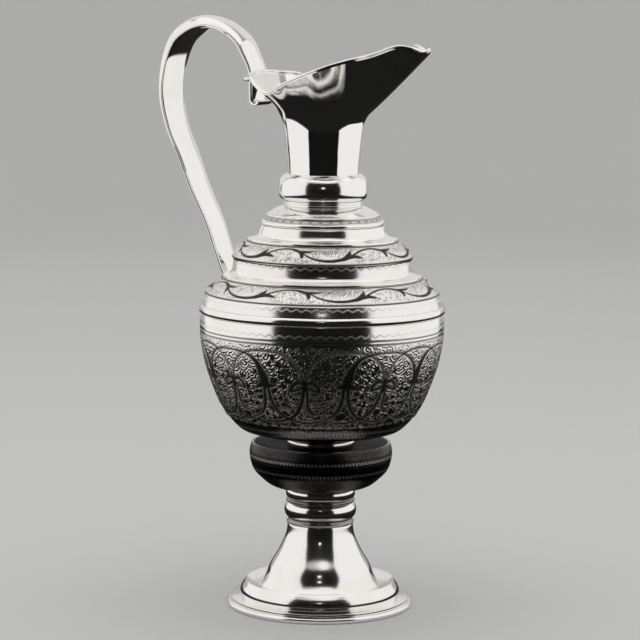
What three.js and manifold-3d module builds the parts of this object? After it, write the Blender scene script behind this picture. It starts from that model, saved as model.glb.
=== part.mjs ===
// A footed silver wine jug: stepped shoulder, open beak-shaped mouth and one strap handle.
// Millimetres, +Z up, spout towards +X, handle towards -X, standing on z = 0.
import * as THREE from 'three';
import { mergeVertices } from 'three/addons/utils/BufferGeometryUtils.js';
import Module from 'manifold-3d';

const wasm = await Module();
wasm.setup();

// Common values
const SEGMENTS = 32; // flats around each turned piece
const SHEET = 1.3; // thickness of the raised silver sheet
const NECK_SHEET = 1.2; // thickness of the neck and mouth
const SOLDER_GAP = 0.3; // clearance where curved pieces are soldered together

// Foot
const RIM_RADIUS = 47.1; // bead that the jug stands on
const RIM_HEIGHT = 2.8;
const RIM_WIDTH = 5.4;
const RIM_ROUND = 0.9; // depth of the bead's rounding
const FLANGE_SETBACK = 2.3; // thin edge above the bead, inside its radius
const FLANGE_HEIGHT = 1.4;
const BULGE_SETBACK = 4.6; // rounded step, inside the thin edge
const LIP_SETBACK = 2.9; // sharp upper edge, inside the rounded step
const STEP_HEIGHT = 9.9; // from the bead to the sharp edge
const DISH_WIDTH = 6.8; // from the sharp edge to the trumpet
const DISH_DEPTH = 2; // the trumpet stands this far below the sharp edge
const TRUMPET_HEIGHT = 31;
const TRUMPET_SEAT = 4; // width of the flat seat under the trumpet

// Stem
const STEM_RADIUS = 16.4;
const STEM_WALL = 4.4;
const COLLAR_HEIGHT = 3.1;
const COLLAR_BEAD = 0.7;
const LOWER_RING_PROUD = 1.7; // each ring stands out from the stem by this much
const LOWER_RING_HEIGHT = 7.8;
const MIDDLE_RING_PROUD = 0.9;
const MIDDLE_RING_HEIGHT = 2;
const UPPER_RING_PROUD = 1.1;
const UPPER_RING_HEIGHT = 5.7;

// Bowl
const CUP_FLOOR_PROUD = 0.6; // the cup's floor, wider than the stem
const CUP_RADIUS = 34.8;
const CUP_HEIGHT = 22.7;
const COVER_DIP = 2.7; // from the cup's edge down to the bead on its cover
const BEAD_PROUD = 1.1;
const BEAD_HEIGHT = 5.3;
const FLOOR_PROUD = 0.5; // flat middle of the bowl's floor, wider than the bead
const BODY_RADIUS = 61;
const BODY_HEIGHT = 62.9;
const GIRDLE_PROUD = 0.6;
const GIRDLE_WIDTH = 2.4;
const GIRDLE_HEIGHT = 4.3;
const GIRDLE_ROUND = 1.1;

// Shoulder, three tiers: a polished wall and above it a sloping ornamented band
const LOWER_WALL_SETBACK = 0.5; // inside the bowl
const LOWER_WALL_LEAN = 2; // how far the wall leans in on its way up
const LOWER_WALL_HEIGHT = 5.8;
const LOWER_BAND_HEIGHT = 8;
const MIDDLE_COVE = 5; // from the lip in to the middle wall
const MIDDLE_WALL_HEIGHT = 10;
const MIDDLE_BAND_PROUD = 0.6;
const MIDDLE_BAND_WIDTH = 7.9;
const MIDDLE_BAND_HEIGHT = 8.5;
const UPPER_COVE = 5.2;
const UPPER_WALL_LEAN = 1.3;
const UPPER_WALL_HEIGHT = 7.4;
const LIP_HEIGHT = 0.8;
const LIP_PROUD = 0.4; // each lip stands out over the band below it

// Trim between the tiers and the neck
const LOWER_WIRE_SETBACK = 0.1;
const LOWER_WIRE_HEIGHT = 2.5;
const LOWER_WIRE_ROUND = 0.9;
const DASH_BAND_SETBACK = 1.5;
const DASH_BAND_LEAN = 1.5;
const DASH_BAND_HEIGHT = 1.7;
const UPPER_WIRE_PROUD = 0.5; // over the top of the dashed band
const UPPER_WIRE_HEIGHT = 1.5;
const UPPER_WIRE_ROUND = 0.6;
const TRIM_WIDTH = 3.6;
const DOME_SETBACK = 0.8;
const DOME_WIDTH = 7.7; // from the neck's ring out to the upper wire
const DOME_HEIGHT = 4;

// Neck and mouth
const NECK_RADIUS = 18;
const NECK_RING_PROUD = 1.9;
const NECK_RING_GROOVE = 0.35;
const NECK_RING_HEIGHT = 2.6;
const NECK_COLLAR_PROUD = 4.6;
const NECK_COLLAR_TOP_PROUD = 0.6;
const NECK_COLLAR_HEIGHT = 13.2;
const NECK_FLARE = 3.6; // how far the neck widens up to the mouth
const NECK_HEIGHT = 28;
const SPOUT_REACH = 59;
const MOUTH_BACK = 35.6;
const MOUTH_HALF_WIDTH = 36;
const MOUTH_RISE = 34.6; // from the start of the flare to the crest of the spout
const RIM_WIRE_RADIUS = 0.8;

// Handle
const HANDLE_REACH = 88.7; // inner face, farthest from the axis
const HANDLE_RISE = 22.7; // inner face, above the back of the mouth
const HANDLE_HALF_WIDTH = 10;
const HANDLE_CROWN = 7.6; // strip and domed shell together, at the top of the loop
const HANDLE_END_CROWN = 2.6; // the same where the handle meets the mouth
const STRIP_THICKNESS = 1.1;
const HANDLE_LANDING = 6.2; // lower end of the inner face, inside the lower band's foot
const CURL_RADIUS = 3;
const CLASP_RADIUS = 1.2; // wire wrapped round the handle at the mouth
const CLASP_DROP = 2.6; // its middle, below the back of the mouth

// Shapes between two ends: [share of the change in radius, share of the height]
const TRUMPET_SHAPE = [
  [0, 0], [0.1, 0.045], [0.2, 0.115], [0.285, 0.18], [0.31, 0.23], [0.35, 0.285], [0.45, 0.37], [0.64, 0.506],
  [0.85, 0.703], [0.95, 0.82], [1, 1],
];
const CUP_SHAPE = [
  [0, 0], [0.25, 0.013], [0.48, 0.067], [0.75, 0.234], [0.95, 0.412], [1.06, 0.736], [1.03, 0.93], [1, 1],
];
const BODY_SHAPE = [
  [0, 0], [0.28, 0.032], [0.42, 0.053], [0.52, 0.078], [0.626, 0.146], [0.751, 0.26], [0.854, 0.42],
  [0.933, 0.58], [0.991, 0.776], [1, 0.88], [1, 1],
];
const BAND_SHAPE = [[0, 0.02], [0.42, 0.6], [1, 1]];
const COVE_SHAPE = [[0, 0], [0.6, 0.22], [0.9, 0.6], [1, 1]];
const DOME_SHAPE = [[0, 0], [0.34, 0.42], [0.8, 0.85], [1, 1]];
const NECK_SHAPE = [[0, 0], [0.055, 0.16], [0.21, 0.36], [0.445, 0.64], [0.64, 0.82], [1, 1]];
// Mouth rim from the spout to the back: [along, across, up, direction on the neck in degrees]
const RIM_SHAPE = [
  [1, 0, 0.962, 0], [0.963, 0.083, 0.919, 9], [0.866, 0.164, 0.983, 17], [0.786, 0.281, 1, 25],
  [0.641, 0.583, 0.88, 35], [0.498, 0.869, 0.797, 49], [0.295, 0.997, 0.682, 66], [0.124, 0.989, 0.583, 83],
  [-0.104, 0.944, 0.458, 101], [-0.441, 0.836, 0.324, 120], [-0.789, 0.7, 0.529, 140], [-0.961, 0.383, 0.572, 160],
  [-1, 0, 0.592, 180],
];
// Handle, inner face, from the shoulder to the farthest point: [out, up]
const LEG_SHAPE = [
  [-0.3, -0.1], [0, 0], [0.149, 0.1], [0.296, 0.214], [0.545, 0.357], [0.712, 0.4715], [0.914, 0.603],
  [1, 0.727], [0.943, 0.847],
];
// Handle, inner face, over the top to the mouth: [out from the mouth, up from its back]
const LOOP_SHAPE = [
  [0.861, 0.63], [0.772, 0.8], [0.644, 0.945], [0.515, 1], [0.38, 0.96], [0.254, 0.824], [0.15, 0.633],
  [0.077, 0.37], [0.026, 0.16], [0, -0.02], [0, -0.276], [0, -0.57],
];
// Half width and crown along the handle: [share of its length, half width share, crown share]
const HANDLE_TAPER = [
  [0, 0.72, 0.2], [0.2, 0.8, 0.24], [0.45, 0.95, 0.36], [0.6, 1, 0.75], [0.7, 1, 1], [0.82, 0.9, 0.32],
  [1, 0.7, 0],
];

// Radii that follow from the values above
const FLANGE_RADIUS = RIM_RADIUS - FLANGE_SETBACK;
const BULGE_RADIUS = FLANGE_RADIUS - BULGE_SETBACK;
const LIP_RADIUS = BULGE_RADIUS - LIP_SETBACK;
const TRUMPET_RADIUS = LIP_RADIUS - DISH_WIDTH;
const STEM_BORE = STEM_RADIUS - STEM_WALL;
const CUP_FLOOR_RADIUS = STEM_RADIUS + CUP_FLOOR_PROUD;
const COVER_RADIUS = CUP_RADIUS - SHEET - SOLDER_GAP;
const BEAD_RADIUS = STEM_RADIUS + BEAD_PROUD;
const FLOOR_RADIUS = BEAD_RADIUS + FLOOR_PROUD;
const GIRDLE_RADIUS = BODY_RADIUS + GIRDLE_PROUD;
const LOWER_WALL_RADIUS = BODY_RADIUS - LOWER_WALL_SETBACK;
const LOWER_BAND_RADIUS = LOWER_WALL_RADIUS - LOWER_WALL_LEAN;
const NECK_BORE = NECK_RADIUS - NECK_SHEET;
const NECK_RING_RADIUS = NECK_RADIUS + NECK_RING_PROUD;
const NECK_COLLAR_RADIUS = NECK_RADIUS + NECK_COLLAR_PROUD;
const NECK_TOP_RADIUS = NECK_RADIUS + NECK_FLARE;
const DOME_RADIUS = NECK_RING_RADIUS + DOME_WIDTH;
const UPPER_WIRE_RADIUS = DOME_RADIUS + DOME_SETBACK;
const DASH_TOP_RADIUS = UPPER_WIRE_RADIUS - UPPER_WIRE_PROUD;
const DASH_BAND_RADIUS = DASH_TOP_RADIUS + DASH_BAND_LEAN;
const LOWER_WIRE_RADIUS = DASH_BAND_RADIUS + DASH_BAND_SETBACK;
const UPPER_TOP_RADIUS = LOWER_WIRE_RADIUS + LOWER_WIRE_SETBACK;
const UPPER_WALL_RADIUS = UPPER_TOP_RADIUS + UPPER_WALL_LEAN;
const UPPER_LIP_RADIUS = UPPER_WALL_RADIUS + UPPER_COVE;
const MIDDLE_BAND_RADIUS = UPPER_LIP_RADIUS + MIDDLE_BAND_WIDTH;
const MIDDLE_WALL_RADIUS = MIDDLE_BAND_RADIUS - MIDDLE_BAND_PROUD;
const MIDDLE_LIP_RADIUS = MIDDLE_WALL_RADIUS + MIDDLE_COVE;

// Heights of the joints between the pieces, from the table up
const Z_STEP = RIM_HEIGHT;
const Z_LIP = Z_STEP + STEP_HEIGHT;
const Z_TRUMPET = Z_LIP - DISH_DEPTH;
const Z_COLLAR = Z_TRUMPET + TRUMPET_HEIGHT;
const Z_LOWER_RING = Z_COLLAR + COLLAR_HEIGHT;
const Z_MIDDLE_RING = Z_LOWER_RING + LOWER_RING_HEIGHT;
const Z_UPPER_RING = Z_MIDDLE_RING + MIDDLE_RING_HEIGHT;
const Z_CUP = Z_UPPER_RING + UPPER_RING_HEIGHT;
const Z_COVER = Z_CUP + CUP_HEIGHT;
const Z_BEAD = Z_COVER - COVER_DIP;
const Z_BODY = Z_BEAD + BEAD_HEIGHT;
const Z_GIRDLE = Z_BODY + BODY_HEIGHT;
const Z_LOWER_TIER = Z_GIRDLE + GIRDLE_HEIGHT;
const Z_LOWER_BAND = Z_LOWER_TIER + LOWER_WALL_HEIGHT;
const Z_MIDDLE_TIER = Z_LOWER_BAND + LOWER_BAND_HEIGHT;
const Z_MIDDLE_BAND = Z_MIDDLE_TIER + MIDDLE_WALL_HEIGHT;
const Z_UPPER_TIER = Z_MIDDLE_BAND + MIDDLE_BAND_HEIGHT;
const Z_LOWER_WIRE = Z_UPPER_TIER + UPPER_WALL_HEIGHT;
const Z_DASH_BAND = Z_LOWER_WIRE + LOWER_WIRE_HEIGHT;
const Z_UPPER_WIRE = Z_DASH_BAND + DASH_BAND_HEIGHT;
const Z_DOME = Z_UPPER_WIRE + UPPER_WIRE_HEIGHT;
const Z_NECK_RING = Z_DOME + DOME_HEIGHT;
const Z_NECK_COLLAR = Z_NECK_RING + NECK_RING_HEIGHT;
const Z_NECK = Z_NECK_COLLAR + NECK_COLLAR_HEIGHT;
const Z_FLARE = Z_NECK + NECK_HEIGHT;

const polishedSilver = new THREE.MeshStandardMaterial({ color: 0xd4d3cf, roughness: 0.16, metalness: 1 });
const engravedSilver = new THREE.MeshStandardMaterial({ color: 0x8f8d89, roughness: 0.38, metalness: 1 });
const jug = new THREE.Group();

// Outline points between two ends, from a list of shares
function between(r0, z0, r1, z1, shape) {
  return shape.map(([u, v]) => [r0 + (r1 - r0) * u, z0 + (z1 - z0) * v]);
}

// Unit vector across an outline's leg, to the right of its direction
function across(from, to) {
  const length = Math.hypot(to[0] - from[0], to[1] - from[1]);
  return [(to[1] - from[1]) / length, (from[0] - to[0]) / length];
}

// Outline moved to its inner side by the sheet's thickness, with its ends cut level
function inset(outer, sheet) {
  const last = outer.length - 1;
  return outer.map((point, i) => {
    if (point[0] === 0) return [0, point[1] + sheet];
    const before = i > 0 ? across(outer[i - 1], point) : across(point, outer[i + 1]);
    const after = i < last ? across(point, outer[i + 1]) : before;
    if (i === 0 || i === last) return [point[0] - sheet / Math.abs(before[0]), point[1]];
    const mean = [before[0] + after[0], before[1] + after[1]];
    const scale = (2 * sheet) / (mean[0] * mean[0] + mean[1] * mean[1]);
    return [point[0] - mean[0] * scale, point[1] - mean[1] * scale];
  });
}

// Closed outline of a sheet: up the outer side and down the inner one
function sheetOutline(outer, sheet) {
  return [...outer, ...inset(outer, sheet).reverse()];
}

// One closed body with faces outwards: shared points merged, empty triangles dropped
function closed(geometry) {
  geometry.deleteAttribute('normal');
  geometry.deleteAttribute('uv');
  const merged = mergeVertices(geometry, 1e-4);
  const position = merged.getAttribute('position');
  const source = merged.getIndex().array;
  const triangles = [];
  const [a, b, c] = [new THREE.Vector3(), new THREE.Vector3(), new THREE.Vector3()];
  let volume = 0;
  for (let i = 0; i < source.length; i += 3) {
    const [p, q, r] = [source[i], source[i + 1], source[i + 2]];
    if (p === q || q === r || r === p) continue;
    triangles.push(p, q, r);
    a.fromBufferAttribute(position, p);
    b.fromBufferAttribute(position, q);
    c.fromBufferAttribute(position, r);
    volume += a.dot(b.cross(c));
  }
  merged.setIndex(volume < 0 ? triangles.reverse() : triangles);
  merged.computeVertexNormals();
  return merged;
}

// Body turned about the axis from a closed outline, or from one that starts on the axis
function turned(outline) {
  const first = outline[0];
  const last = outline[outline.length - 1];
  const onAxis = first[0] === 0 && last[0] === 0;
  const points = (onAxis ? outline : [...outline, first]).map(([r, z]) => new THREE.Vector2(r, z));
  const geometry = new THREE.LatheGeometry(points, SEGMENTS);
  geometry.rotateX(Math.PI / 2);
  return closed(geometry);
}

// Body spanned by rows of points: each row closes on itself, and the rows close or are capped
function lofted(rows, closes) {
  const count = rows[0].length;
  const positions = rows.flat(2);
  const triangles = [];
  const bands = closes ? rows.length : rows.length - 1;
  for (let i = 0; i < bands; i += 1) {
    for (let j = 0; j < count; j += 1) {
      const p = i * count + j;
      const q = i * count + ((j + 1) % count);
      const r = ((i + 1) % rows.length) * count + j;
      const s = ((i + 1) % rows.length) * count + ((j + 1) % count);
      triangles.push(p, q, s, p, s, r);
    }
  }
  if (!closes) {
    const end = (rows.length - 1) * count;
    for (let j = 1; j < count - 1; j += 1) {
      triangles.push(0, j + 1, j, end, end + j, end + j + 1);
    }
  }
  const geometry = new THREE.BufferGeometry();
  geometry.setAttribute('position', new THREE.Float32BufferAttribute(positions, 3));
  geometry.setIndex(triangles);
  return closed(geometry);
}

function toSolid(geometry) {
  const vertProperties = new Float32Array(geometry.getAttribute('position').array);
  const triVerts = new Uint32Array(geometry.getIndex().array);
  return new wasm.Manifold(new wasm.Mesh({ numProp: 3, vertProperties, triVerts }));
}

function toGeometry(solid) {
  const mesh = solid.getMesh();
  const geometry = new THREE.BufferGeometry();
  geometry.setAttribute('position', new THREE.Float32BufferAttribute(mesh.vertProperties, 3));
  geometry.setIndex(Array.from(mesh.triVerts));
  return closed(geometry);
}

function add(name, geometry, material) {
  const mesh = new THREE.Mesh(geometry, material);
  mesh.name = name;
  jug.add(mesh);
}

// Ring with a rounded outer side and flat ends
function beadOutline(radius, z0, height, width, depth) {
  const side = [[-depth, 0], [-depth * 0.3, 0.18], [0, 0.5], [-depth * 0.3, 0.82], [-depth, 1]];
  const outer = side.map(([dr, v]) => [radius + dr, z0 + height * v]);
  return [...outer, [radius - width, z0 + height], [radius - width, z0]];
}

// Foot: standing bead, rounded step with a dish inside its sharp edge, and the trumpet
function addFoot() {
  add('foot_rim', turned(beadOutline(RIM_RADIUS, 0, RIM_HEIGHT, RIM_WIDTH, RIM_ROUND)), polishedSilver);
  const waist = Z_STEP + FLANGE_HEIGHT;
  const outer = [
    [FLANGE_RADIUS, Z_STEP], [FLANGE_RADIUS, waist], [BULGE_RADIUS - SHEET * 0.46, waist + SHEET * 0.4],
    ...between(BULGE_RADIUS, waist + (Z_LIP - waist) * 0.3, LIP_RADIUS, Z_LIP, [[0, 0], [0.2, 0.4], [1, 1]]),
    ...between(LIP_RADIUS, Z_LIP, TRUMPET_RADIUS, Z_TRUMPET, [[0.25, 0.65], [0.85, 1]]),
    [TRUMPET_RADIUS - TRUMPET_SEAT, Z_TRUMPET],
  ];
  const inner = [
    [TRUMPET_RADIUS - TRUMPET_SEAT, Z_TRUMPET - SHEET], [LIP_RADIUS - SHEET * 2, Z_TRUMPET - SHEET],
    [BULGE_RADIUS - SHEET * 1.6, waist + SHEET * 1.6], [RIM_RADIUS - RIM_WIDTH, Z_STEP],
  ];
  add('foot_base', turned([...outer, ...inner]), polishedSilver);
  const trumpet = between(TRUMPET_RADIUS, Z_TRUMPET, STEM_RADIUS, Z_COLLAR, TRUMPET_SHAPE);
  add('foot_trumpet', turned(sheetOutline(trumpet, SHEET)), polishedSilver);
}

// Stem: a small collar and three rings
function addStem() {
  const collar = [
    [STEM_RADIUS, Z_COLLAR], [STEM_RADIUS + COLLAR_BEAD, Z_COLLAR + COLLAR_HEIGHT * 0.25],
    [STEM_RADIUS, Z_COLLAR + COLLAR_HEIGHT * 0.5], [STEM_RADIUS - COLLAR_BEAD, Z_COLLAR + COLLAR_HEIGHT * 0.75],
    [STEM_RADIUS, Z_LOWER_RING], [STEM_BORE, Z_LOWER_RING], [STEM_BORE, Z_COLLAR],
  ];
  add('stem_collar', turned(collar), polishedSilver);
  const rings = [
    ['stem_lower_ring', LOWER_RING_PROUD, Z_LOWER_RING, LOWER_RING_HEIGHT],
    ['stem_middle_ring', MIDDLE_RING_PROUD, Z_MIDDLE_RING, MIDDLE_RING_HEIGHT],
    ['stem_upper_ring', UPPER_RING_PROUD, Z_UPPER_RING, UPPER_RING_HEIGHT],
  ];
  for (const [name, proud, z, height] of rings) {
    add(name, turned(beadOutline(STEM_RADIUS + proud, z, height, STEM_WALL + proud, proud)), polishedSilver);
  }
}

// Bowl: hollow cup with a dished cover, bead on the cover, wide ornamented body and the ring over its seam
function addBowl() {
  const cup = between(CUP_FLOOR_RADIUS, Z_CUP, CUP_RADIUS, Z_COVER, CUP_SHAPE);
  add('bowl_cup', turned(sheetOutline([[0, Z_CUP], ...cup], SHEET)), engravedSilver);
  const cover = [
    [COVER_RADIUS, Z_COVER - SHEET], [COVER_RADIUS, Z_COVER], [FLOOR_RADIUS, Z_BEAD], [STEM_BORE, Z_BEAD],
    [STEM_BORE, Z_BEAD - SHEET], [FLOOR_RADIUS, Z_BEAD - SHEET],
  ];
  add('cup_cover', turned(cover), engravedSilver);
  const bead = beadOutline(BEAD_RADIUS, Z_BEAD, BEAD_HEIGHT, BEAD_RADIUS - STEM_BORE, BEAD_PROUD);
  add('bowl_bead', turned(bead), polishedSilver);
  const body = between(FLOOR_RADIUS, Z_BODY, BODY_RADIUS, Z_GIRDLE, BODY_SHAPE);
  add('bowl_body', turned(sheetOutline([[0, Z_BODY], ...body], SHEET)), engravedSilver);
  const girdle = beadOutline(GIRDLE_RADIUS, Z_GIRDLE, GIRDLE_HEIGHT, GIRDLE_WIDTH, GIRDLE_ROUND);
  add('girdle_ring', turned(girdle), polishedSilver);
}

const LOWER_TIER = [
  [LOWER_WALL_RADIUS, Z_LOWER_TIER],
  ...between(LOWER_BAND_RADIUS, Z_LOWER_BAND, MIDDLE_LIP_RADIUS - LIP_PROUD, Z_MIDDLE_TIER, BAND_SHAPE),
];
const MIDDLE_FOOT = [
  [MIDDLE_LIP_RADIUS, Z_MIDDLE_TIER],
  ...between(
    MIDDLE_LIP_RADIUS, Z_MIDDLE_TIER + LIP_HEIGHT,
    MIDDLE_WALL_RADIUS, Z_MIDDLE_TIER + MIDDLE_WALL_HEIGHT * 0.45, COVE_SHAPE),
];
const MIDDLE_TOP = [
  [MIDDLE_WALL_RADIUS, Z_MIDDLE_BAND - LIP_HEIGHT],
  ...between(MIDDLE_BAND_RADIUS, Z_MIDDLE_BAND, UPPER_LIP_RADIUS - LIP_PROUD, Z_UPPER_TIER, BAND_SHAPE),
];
const UPPER_FOOT = [
  [UPPER_LIP_RADIUS, Z_UPPER_TIER],
  ...between(
    UPPER_LIP_RADIUS, Z_UPPER_TIER + LIP_HEIGHT,
    UPPER_WALL_RADIUS, Z_UPPER_TIER + UPPER_WALL_HEIGHT * 0.5, COVE_SHAPE),
];
const UPPER_TOP = [
  [UPPER_TOP_RADIUS, Z_LOWER_WIRE],
];

// Closed outline of a tier: its coved foot is solid down to the tier below
function tierOutline(foot, top) {
  const wall = foot[foot.length - 1];
  const inner = inset([wall, ...top], SHEET).reverse();
  return [...foot, ...top, ...inner, [inner[inner.length - 1][0], foot[0][1]]];
}

// Shoulder: three stepped tiers, two wires with a dashed band between them, and the dome
function addShoulder() {
  add('shoulder_lower_tier', turned(sheetOutline(LOWER_TIER, SHEET)), engravedSilver);
  add('shoulder_middle_tier', turned(tierOutline(MIDDLE_FOOT, MIDDLE_TOP)), engravedSilver);
  add('shoulder_upper_tier', turned(tierOutline(UPPER_FOOT, UPPER_TOP)), polishedSilver);
  const lowerWire = beadOutline(
    LOWER_WIRE_RADIUS, Z_LOWER_WIRE, LOWER_WIRE_HEIGHT, TRIM_WIDTH, LOWER_WIRE_ROUND);
  add('shoulder_lower_wire', turned(lowerWire), polishedSilver);
  const dashBore = UPPER_WIRE_RADIUS - TRIM_WIDTH;
  const dash = [
    [DASH_BAND_RADIUS, Z_DASH_BAND], [DASH_TOP_RADIUS, Z_UPPER_WIRE],
    [dashBore, Z_UPPER_WIRE], [dashBore, Z_DASH_BAND],
  ];
  add('shoulder_dash_band', turned(dash), engravedSilver);
  const upperWire = beadOutline(
    UPPER_WIRE_RADIUS, Z_UPPER_WIRE, UPPER_WIRE_HEIGHT, TRIM_WIDTH, UPPER_WIRE_ROUND);
  add('shoulder_upper_wire', turned(upperWire), polishedSilver);
  const dome = between(DOME_RADIUS, Z_DOME, NECK_RING_RADIUS, Z_NECK_RING, DOME_SHAPE);
  add('shoulder_dome', turned(sheetOutline(dome, SHEET)), polishedSilver);
}

// Neck: a lined ring, the round collar, and the tube that opens into the beaked mouth
function addNeck() {
  const groove = NECK_RING_GROOVE;
  const ring = [
    ...[[0, 0], [0, 0.3], [groove, 0.42], [0, 0.54], [0, 0.76], [groove, 0.88], [0, 1]].map(
      ([dr, v]) => [NECK_RING_RADIUS - dr, Z_NECK_RING + NECK_RING_HEIGHT * v]),
    [NECK_BORE, Z_NECK_COLLAR], [NECK_BORE, Z_NECK_RING],
  ];
  add('neck_base_ring', turned(ring), polishedSilver);
  const base = NECK_RING_RADIUS - groove;
  const top = NECK_RADIUS + NECK_COLLAR_TOP_PROUD;
  const swell = [[0, 0], [0.7, 0.12], [1, 0.45]].map(
    ([u, v]) => [base + (NECK_COLLAR_RADIUS - base) * u, Z_NECK_COLLAR + NECK_COLLAR_HEIGHT * v]);
  const shrink = [[0.32, 0.82], [1, 1]].map(
    ([u, v]) => [NECK_COLLAR_RADIUS + (top - NECK_COLLAR_RADIUS) * u, Z_NECK_COLLAR + NECK_COLLAR_HEIGHT * v]);
  const collar = [...swell, ...shrink, [NECK_BORE, Z_NECK], [NECK_BORE, Z_NECK_COLLAR]];
  add('neck_collar', turned(collar), polishedSilver);
  const rim = rimPoints();
  const rows = [...mouthRows(rim, 0), ...mouthRows(rim, NECK_SHEET).reverse()];
  add('neck_spout', lofted(rows, true), polishedSilver);
  add('mouth_rim_wire', rimWire(rim), polishedSilver);
}

// Smooth rim all round: place, direction on the neck and inward direction in plan
function rimPoints() {
  const mirrored = RIM_SHAPE.slice(1, -1).reverse().map(([a, b, up, turn]) => [a, -b, up, 360 - turn]);
  const full = [...RIM_SHAPE, ...mirrored];
  const places = full.map(([a, b, up, turn]) => ({
    x: a > 0 ? a * SPOUT_REACH : a * MOUTH_BACK,
    y: b * MOUTH_HALF_WIDTH,
    z: Z_FLARE + MOUTH_RISE * up,
    turn: THREE.MathUtils.degToRad(turn),
  }));
  const count = places.length;
  const corners = places.map((p) => new THREE.Vector3(p.x, p.y, p.z));
  const curve = new THREE.CatmullRomCurve3(corners, true, 'centripetal');
  const dense = [];
  for (let i = 0; i < count * 2; i += 1) {
    const here = places[Math.floor(i / 2)];
    const next = places[(Math.floor(i / 2) + 1) % count];
    const nextTurn = next.turn < here.turn ? next.turn + 2 * Math.PI : next.turn;
    const share = (i % 2) / 2;
    const point = curve.getPoint(i / (count * 2));
    const along = curve.getTangent(i / (count * 2)).setZ(0).normalize();
    const turn = here.turn + (nextTurn - here.turn) * share;
    dense.push({ point, turn, inward: new THREE.Vector3(-along.y, along.x, 0) });
  }
  return dense;
}

// Rows of the neck and mouth, moved inwards by the sheet's thickness for the inner side
function mouthRows(rim, sheet) {
  const circles = between(NECK_RADIUS, Z_NECK, NECK_TOP_RADIUS, Z_FLARE, NECK_SHAPE);
  const rows = circles.map(([r, z]) => rim.map(
    ({ turn }) => [(r - sheet) * Math.cos(turn), (r - sheet) * Math.sin(turn), z]));
  const neck = NECK_TOP_RADIUS - sheet;
  for (const t of [0.2, 0.4, 0.6, 0.8, 1]) {
    rows.push(rim.map(({ point, turn, inward }) => {
      const start = new THREE.Vector3(neck * Math.cos(turn), neck * Math.sin(turn), Z_FLARE);
      const end = point.clone().addScaledVector(inward, sheet);
      const beak = THREE.MathUtils.smoothstep(Math.cos(turn), 0.55, 0.99);
      const out = THREE.MathUtils.lerp(0.3, 0.21, beak);
      const up = THREE.MathUtils.lerp(0.5, 0.15, beak);
      const bend = new THREE.Vector3(
        start.x + (end.x - start.x) * out,
        start.y + (end.y - start.y) * out,
        start.z + (end.z - start.z) * up);
      return new THREE.QuadraticBezierCurve3(start, bend, end).getPoint(t).toArray();
    }));
  }
  return rows;
}

// Wire soldered along the top of the rim
function rimWire(rim) {
  const sides = 6;
  const rows = rim.map(({ point, inward }) => {
    const centre = point.clone().addScaledVector(inward, NECK_SHEET / 2);
    centre.z += RIM_WIRE_RADIUS + SOLDER_GAP;
    return Array.from({ length: sides }, (_, k) => {
      const turn = (2 * Math.PI * k) / sides;
      const spot = centre.clone().addScaledVector(inward, RIM_WIRE_RADIUS * Math.cos(turn));
      spot.z += RIM_WIRE_RADIUS * Math.sin(turn);
      return spot.toArray();
    });
  });
  return lofted(rows, true);
}

// Handle: a flat strip on the inner side and a domed shell over it, from the shoulder to the mouth
function addHandle() {
  const landRadius = LOWER_BAND_RADIUS - HANDLE_LANDING - LIP_PROUD;
  const landZ = Z_LOWER_BAND + LOWER_BAND_HEIGHT * 0.725;
  const backZ = Z_FLARE + MOUTH_RISE * RIM_SHAPE[RIM_SHAPE.length - 1][2];
  const topZ = backZ + HANDLE_RISE;
  const rimA = MOUTH_BACK + RIM_WIRE_RADIUS + SOLDER_GAP + HANDLE_END_CROWN;
  const leg = LEG_SHAPE.map(
    ([u, v]) => [-(landRadius + (HANDLE_REACH - landRadius) * u), landZ + (topZ - landZ) * v]);
  const loop = LOOP_SHAPE.map(([u, v]) => [-(rimA + (HANDLE_REACH - rimA) * u), backZ + HANDLE_RISE * v]);
  const path = new THREE.SplineCurve([...leg, ...loop].map(([a, z]) => new THREE.Vector2(a, z)));
  const stations = 40;
  const strip = [];
  const shell = [];
  for (let i = 0; i <= stations; i += 1) {
    const share = i / stations;
    const here = path.getPointAt(share);
    const along = path.getTangentAt(share);
    const out = new THREE.Vector2(-along.y, along.x);
    const [width, crown] = taper(share);
    strip.push(section(here, out, [[-1, 0], [1, 0], [1, 1], [-1, 1]], width, STRIP_THICKNESS));
    const base = here.clone().addScaledVector(out, STRIP_THICKNESS + SOLDER_GAP);
    const dome = [0, 30, 60, 90, 120, 150, 180].map((deg) => {
      const turn = THREE.MathUtils.degToRad(deg);
      return [Math.cos(turn), 0.15 + 0.85 * Math.sin(turn)];
    });
    shell.push(section(base, out, [[-1, 0], [1, 0], ...dome], width, crown - STRIP_THICKNESS - SOLDER_GAP));
  }
  strip.push(...curlRows(path, taper(1)[0]));
  const tiers = [...LOWER_TIER, ...MIDDLE_FOOT, ...MIDDLE_TOP, ...UPPER_FOOT, ...UPPER_TOP];
  const shoulder = toSolid(turned(grown(tiers, SOLDER_GAP)));
  add('handle_inner_strip', toGeometry(toSolid(lofted(strip, false)).subtract(shoulder)), polishedSilver);
  add('handle_shell', toGeometry(toSolid(lofted(shell, false)).subtract(shoulder)), polishedSilver);
  add('handle_clasp', lofted(claspRows(rimA, backZ - CLASP_DROP), false), polishedSilver);
}

// Half width and crown at a share of the handle's length
function taper(share) {
  const next = HANDLE_TAPER.findIndex(([at]) => at >= share);
  const [from, to] = [HANDLE_TAPER[Math.max(next - 1, 0)], HANDLE_TAPER[next]];
  const part = to[0] === from[0] ? 0 : (share - from[0]) / (to[0] - from[0]);
  const width = from[1] + (to[1] - from[1]) * part;
  const crown = from[2] + (to[2] - from[2]) * part;
  return [HANDLE_HALF_WIDTH * width, HANDLE_END_CROWN + (HANDLE_CROWN - HANDLE_END_CROWN) * crown];
}

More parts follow.
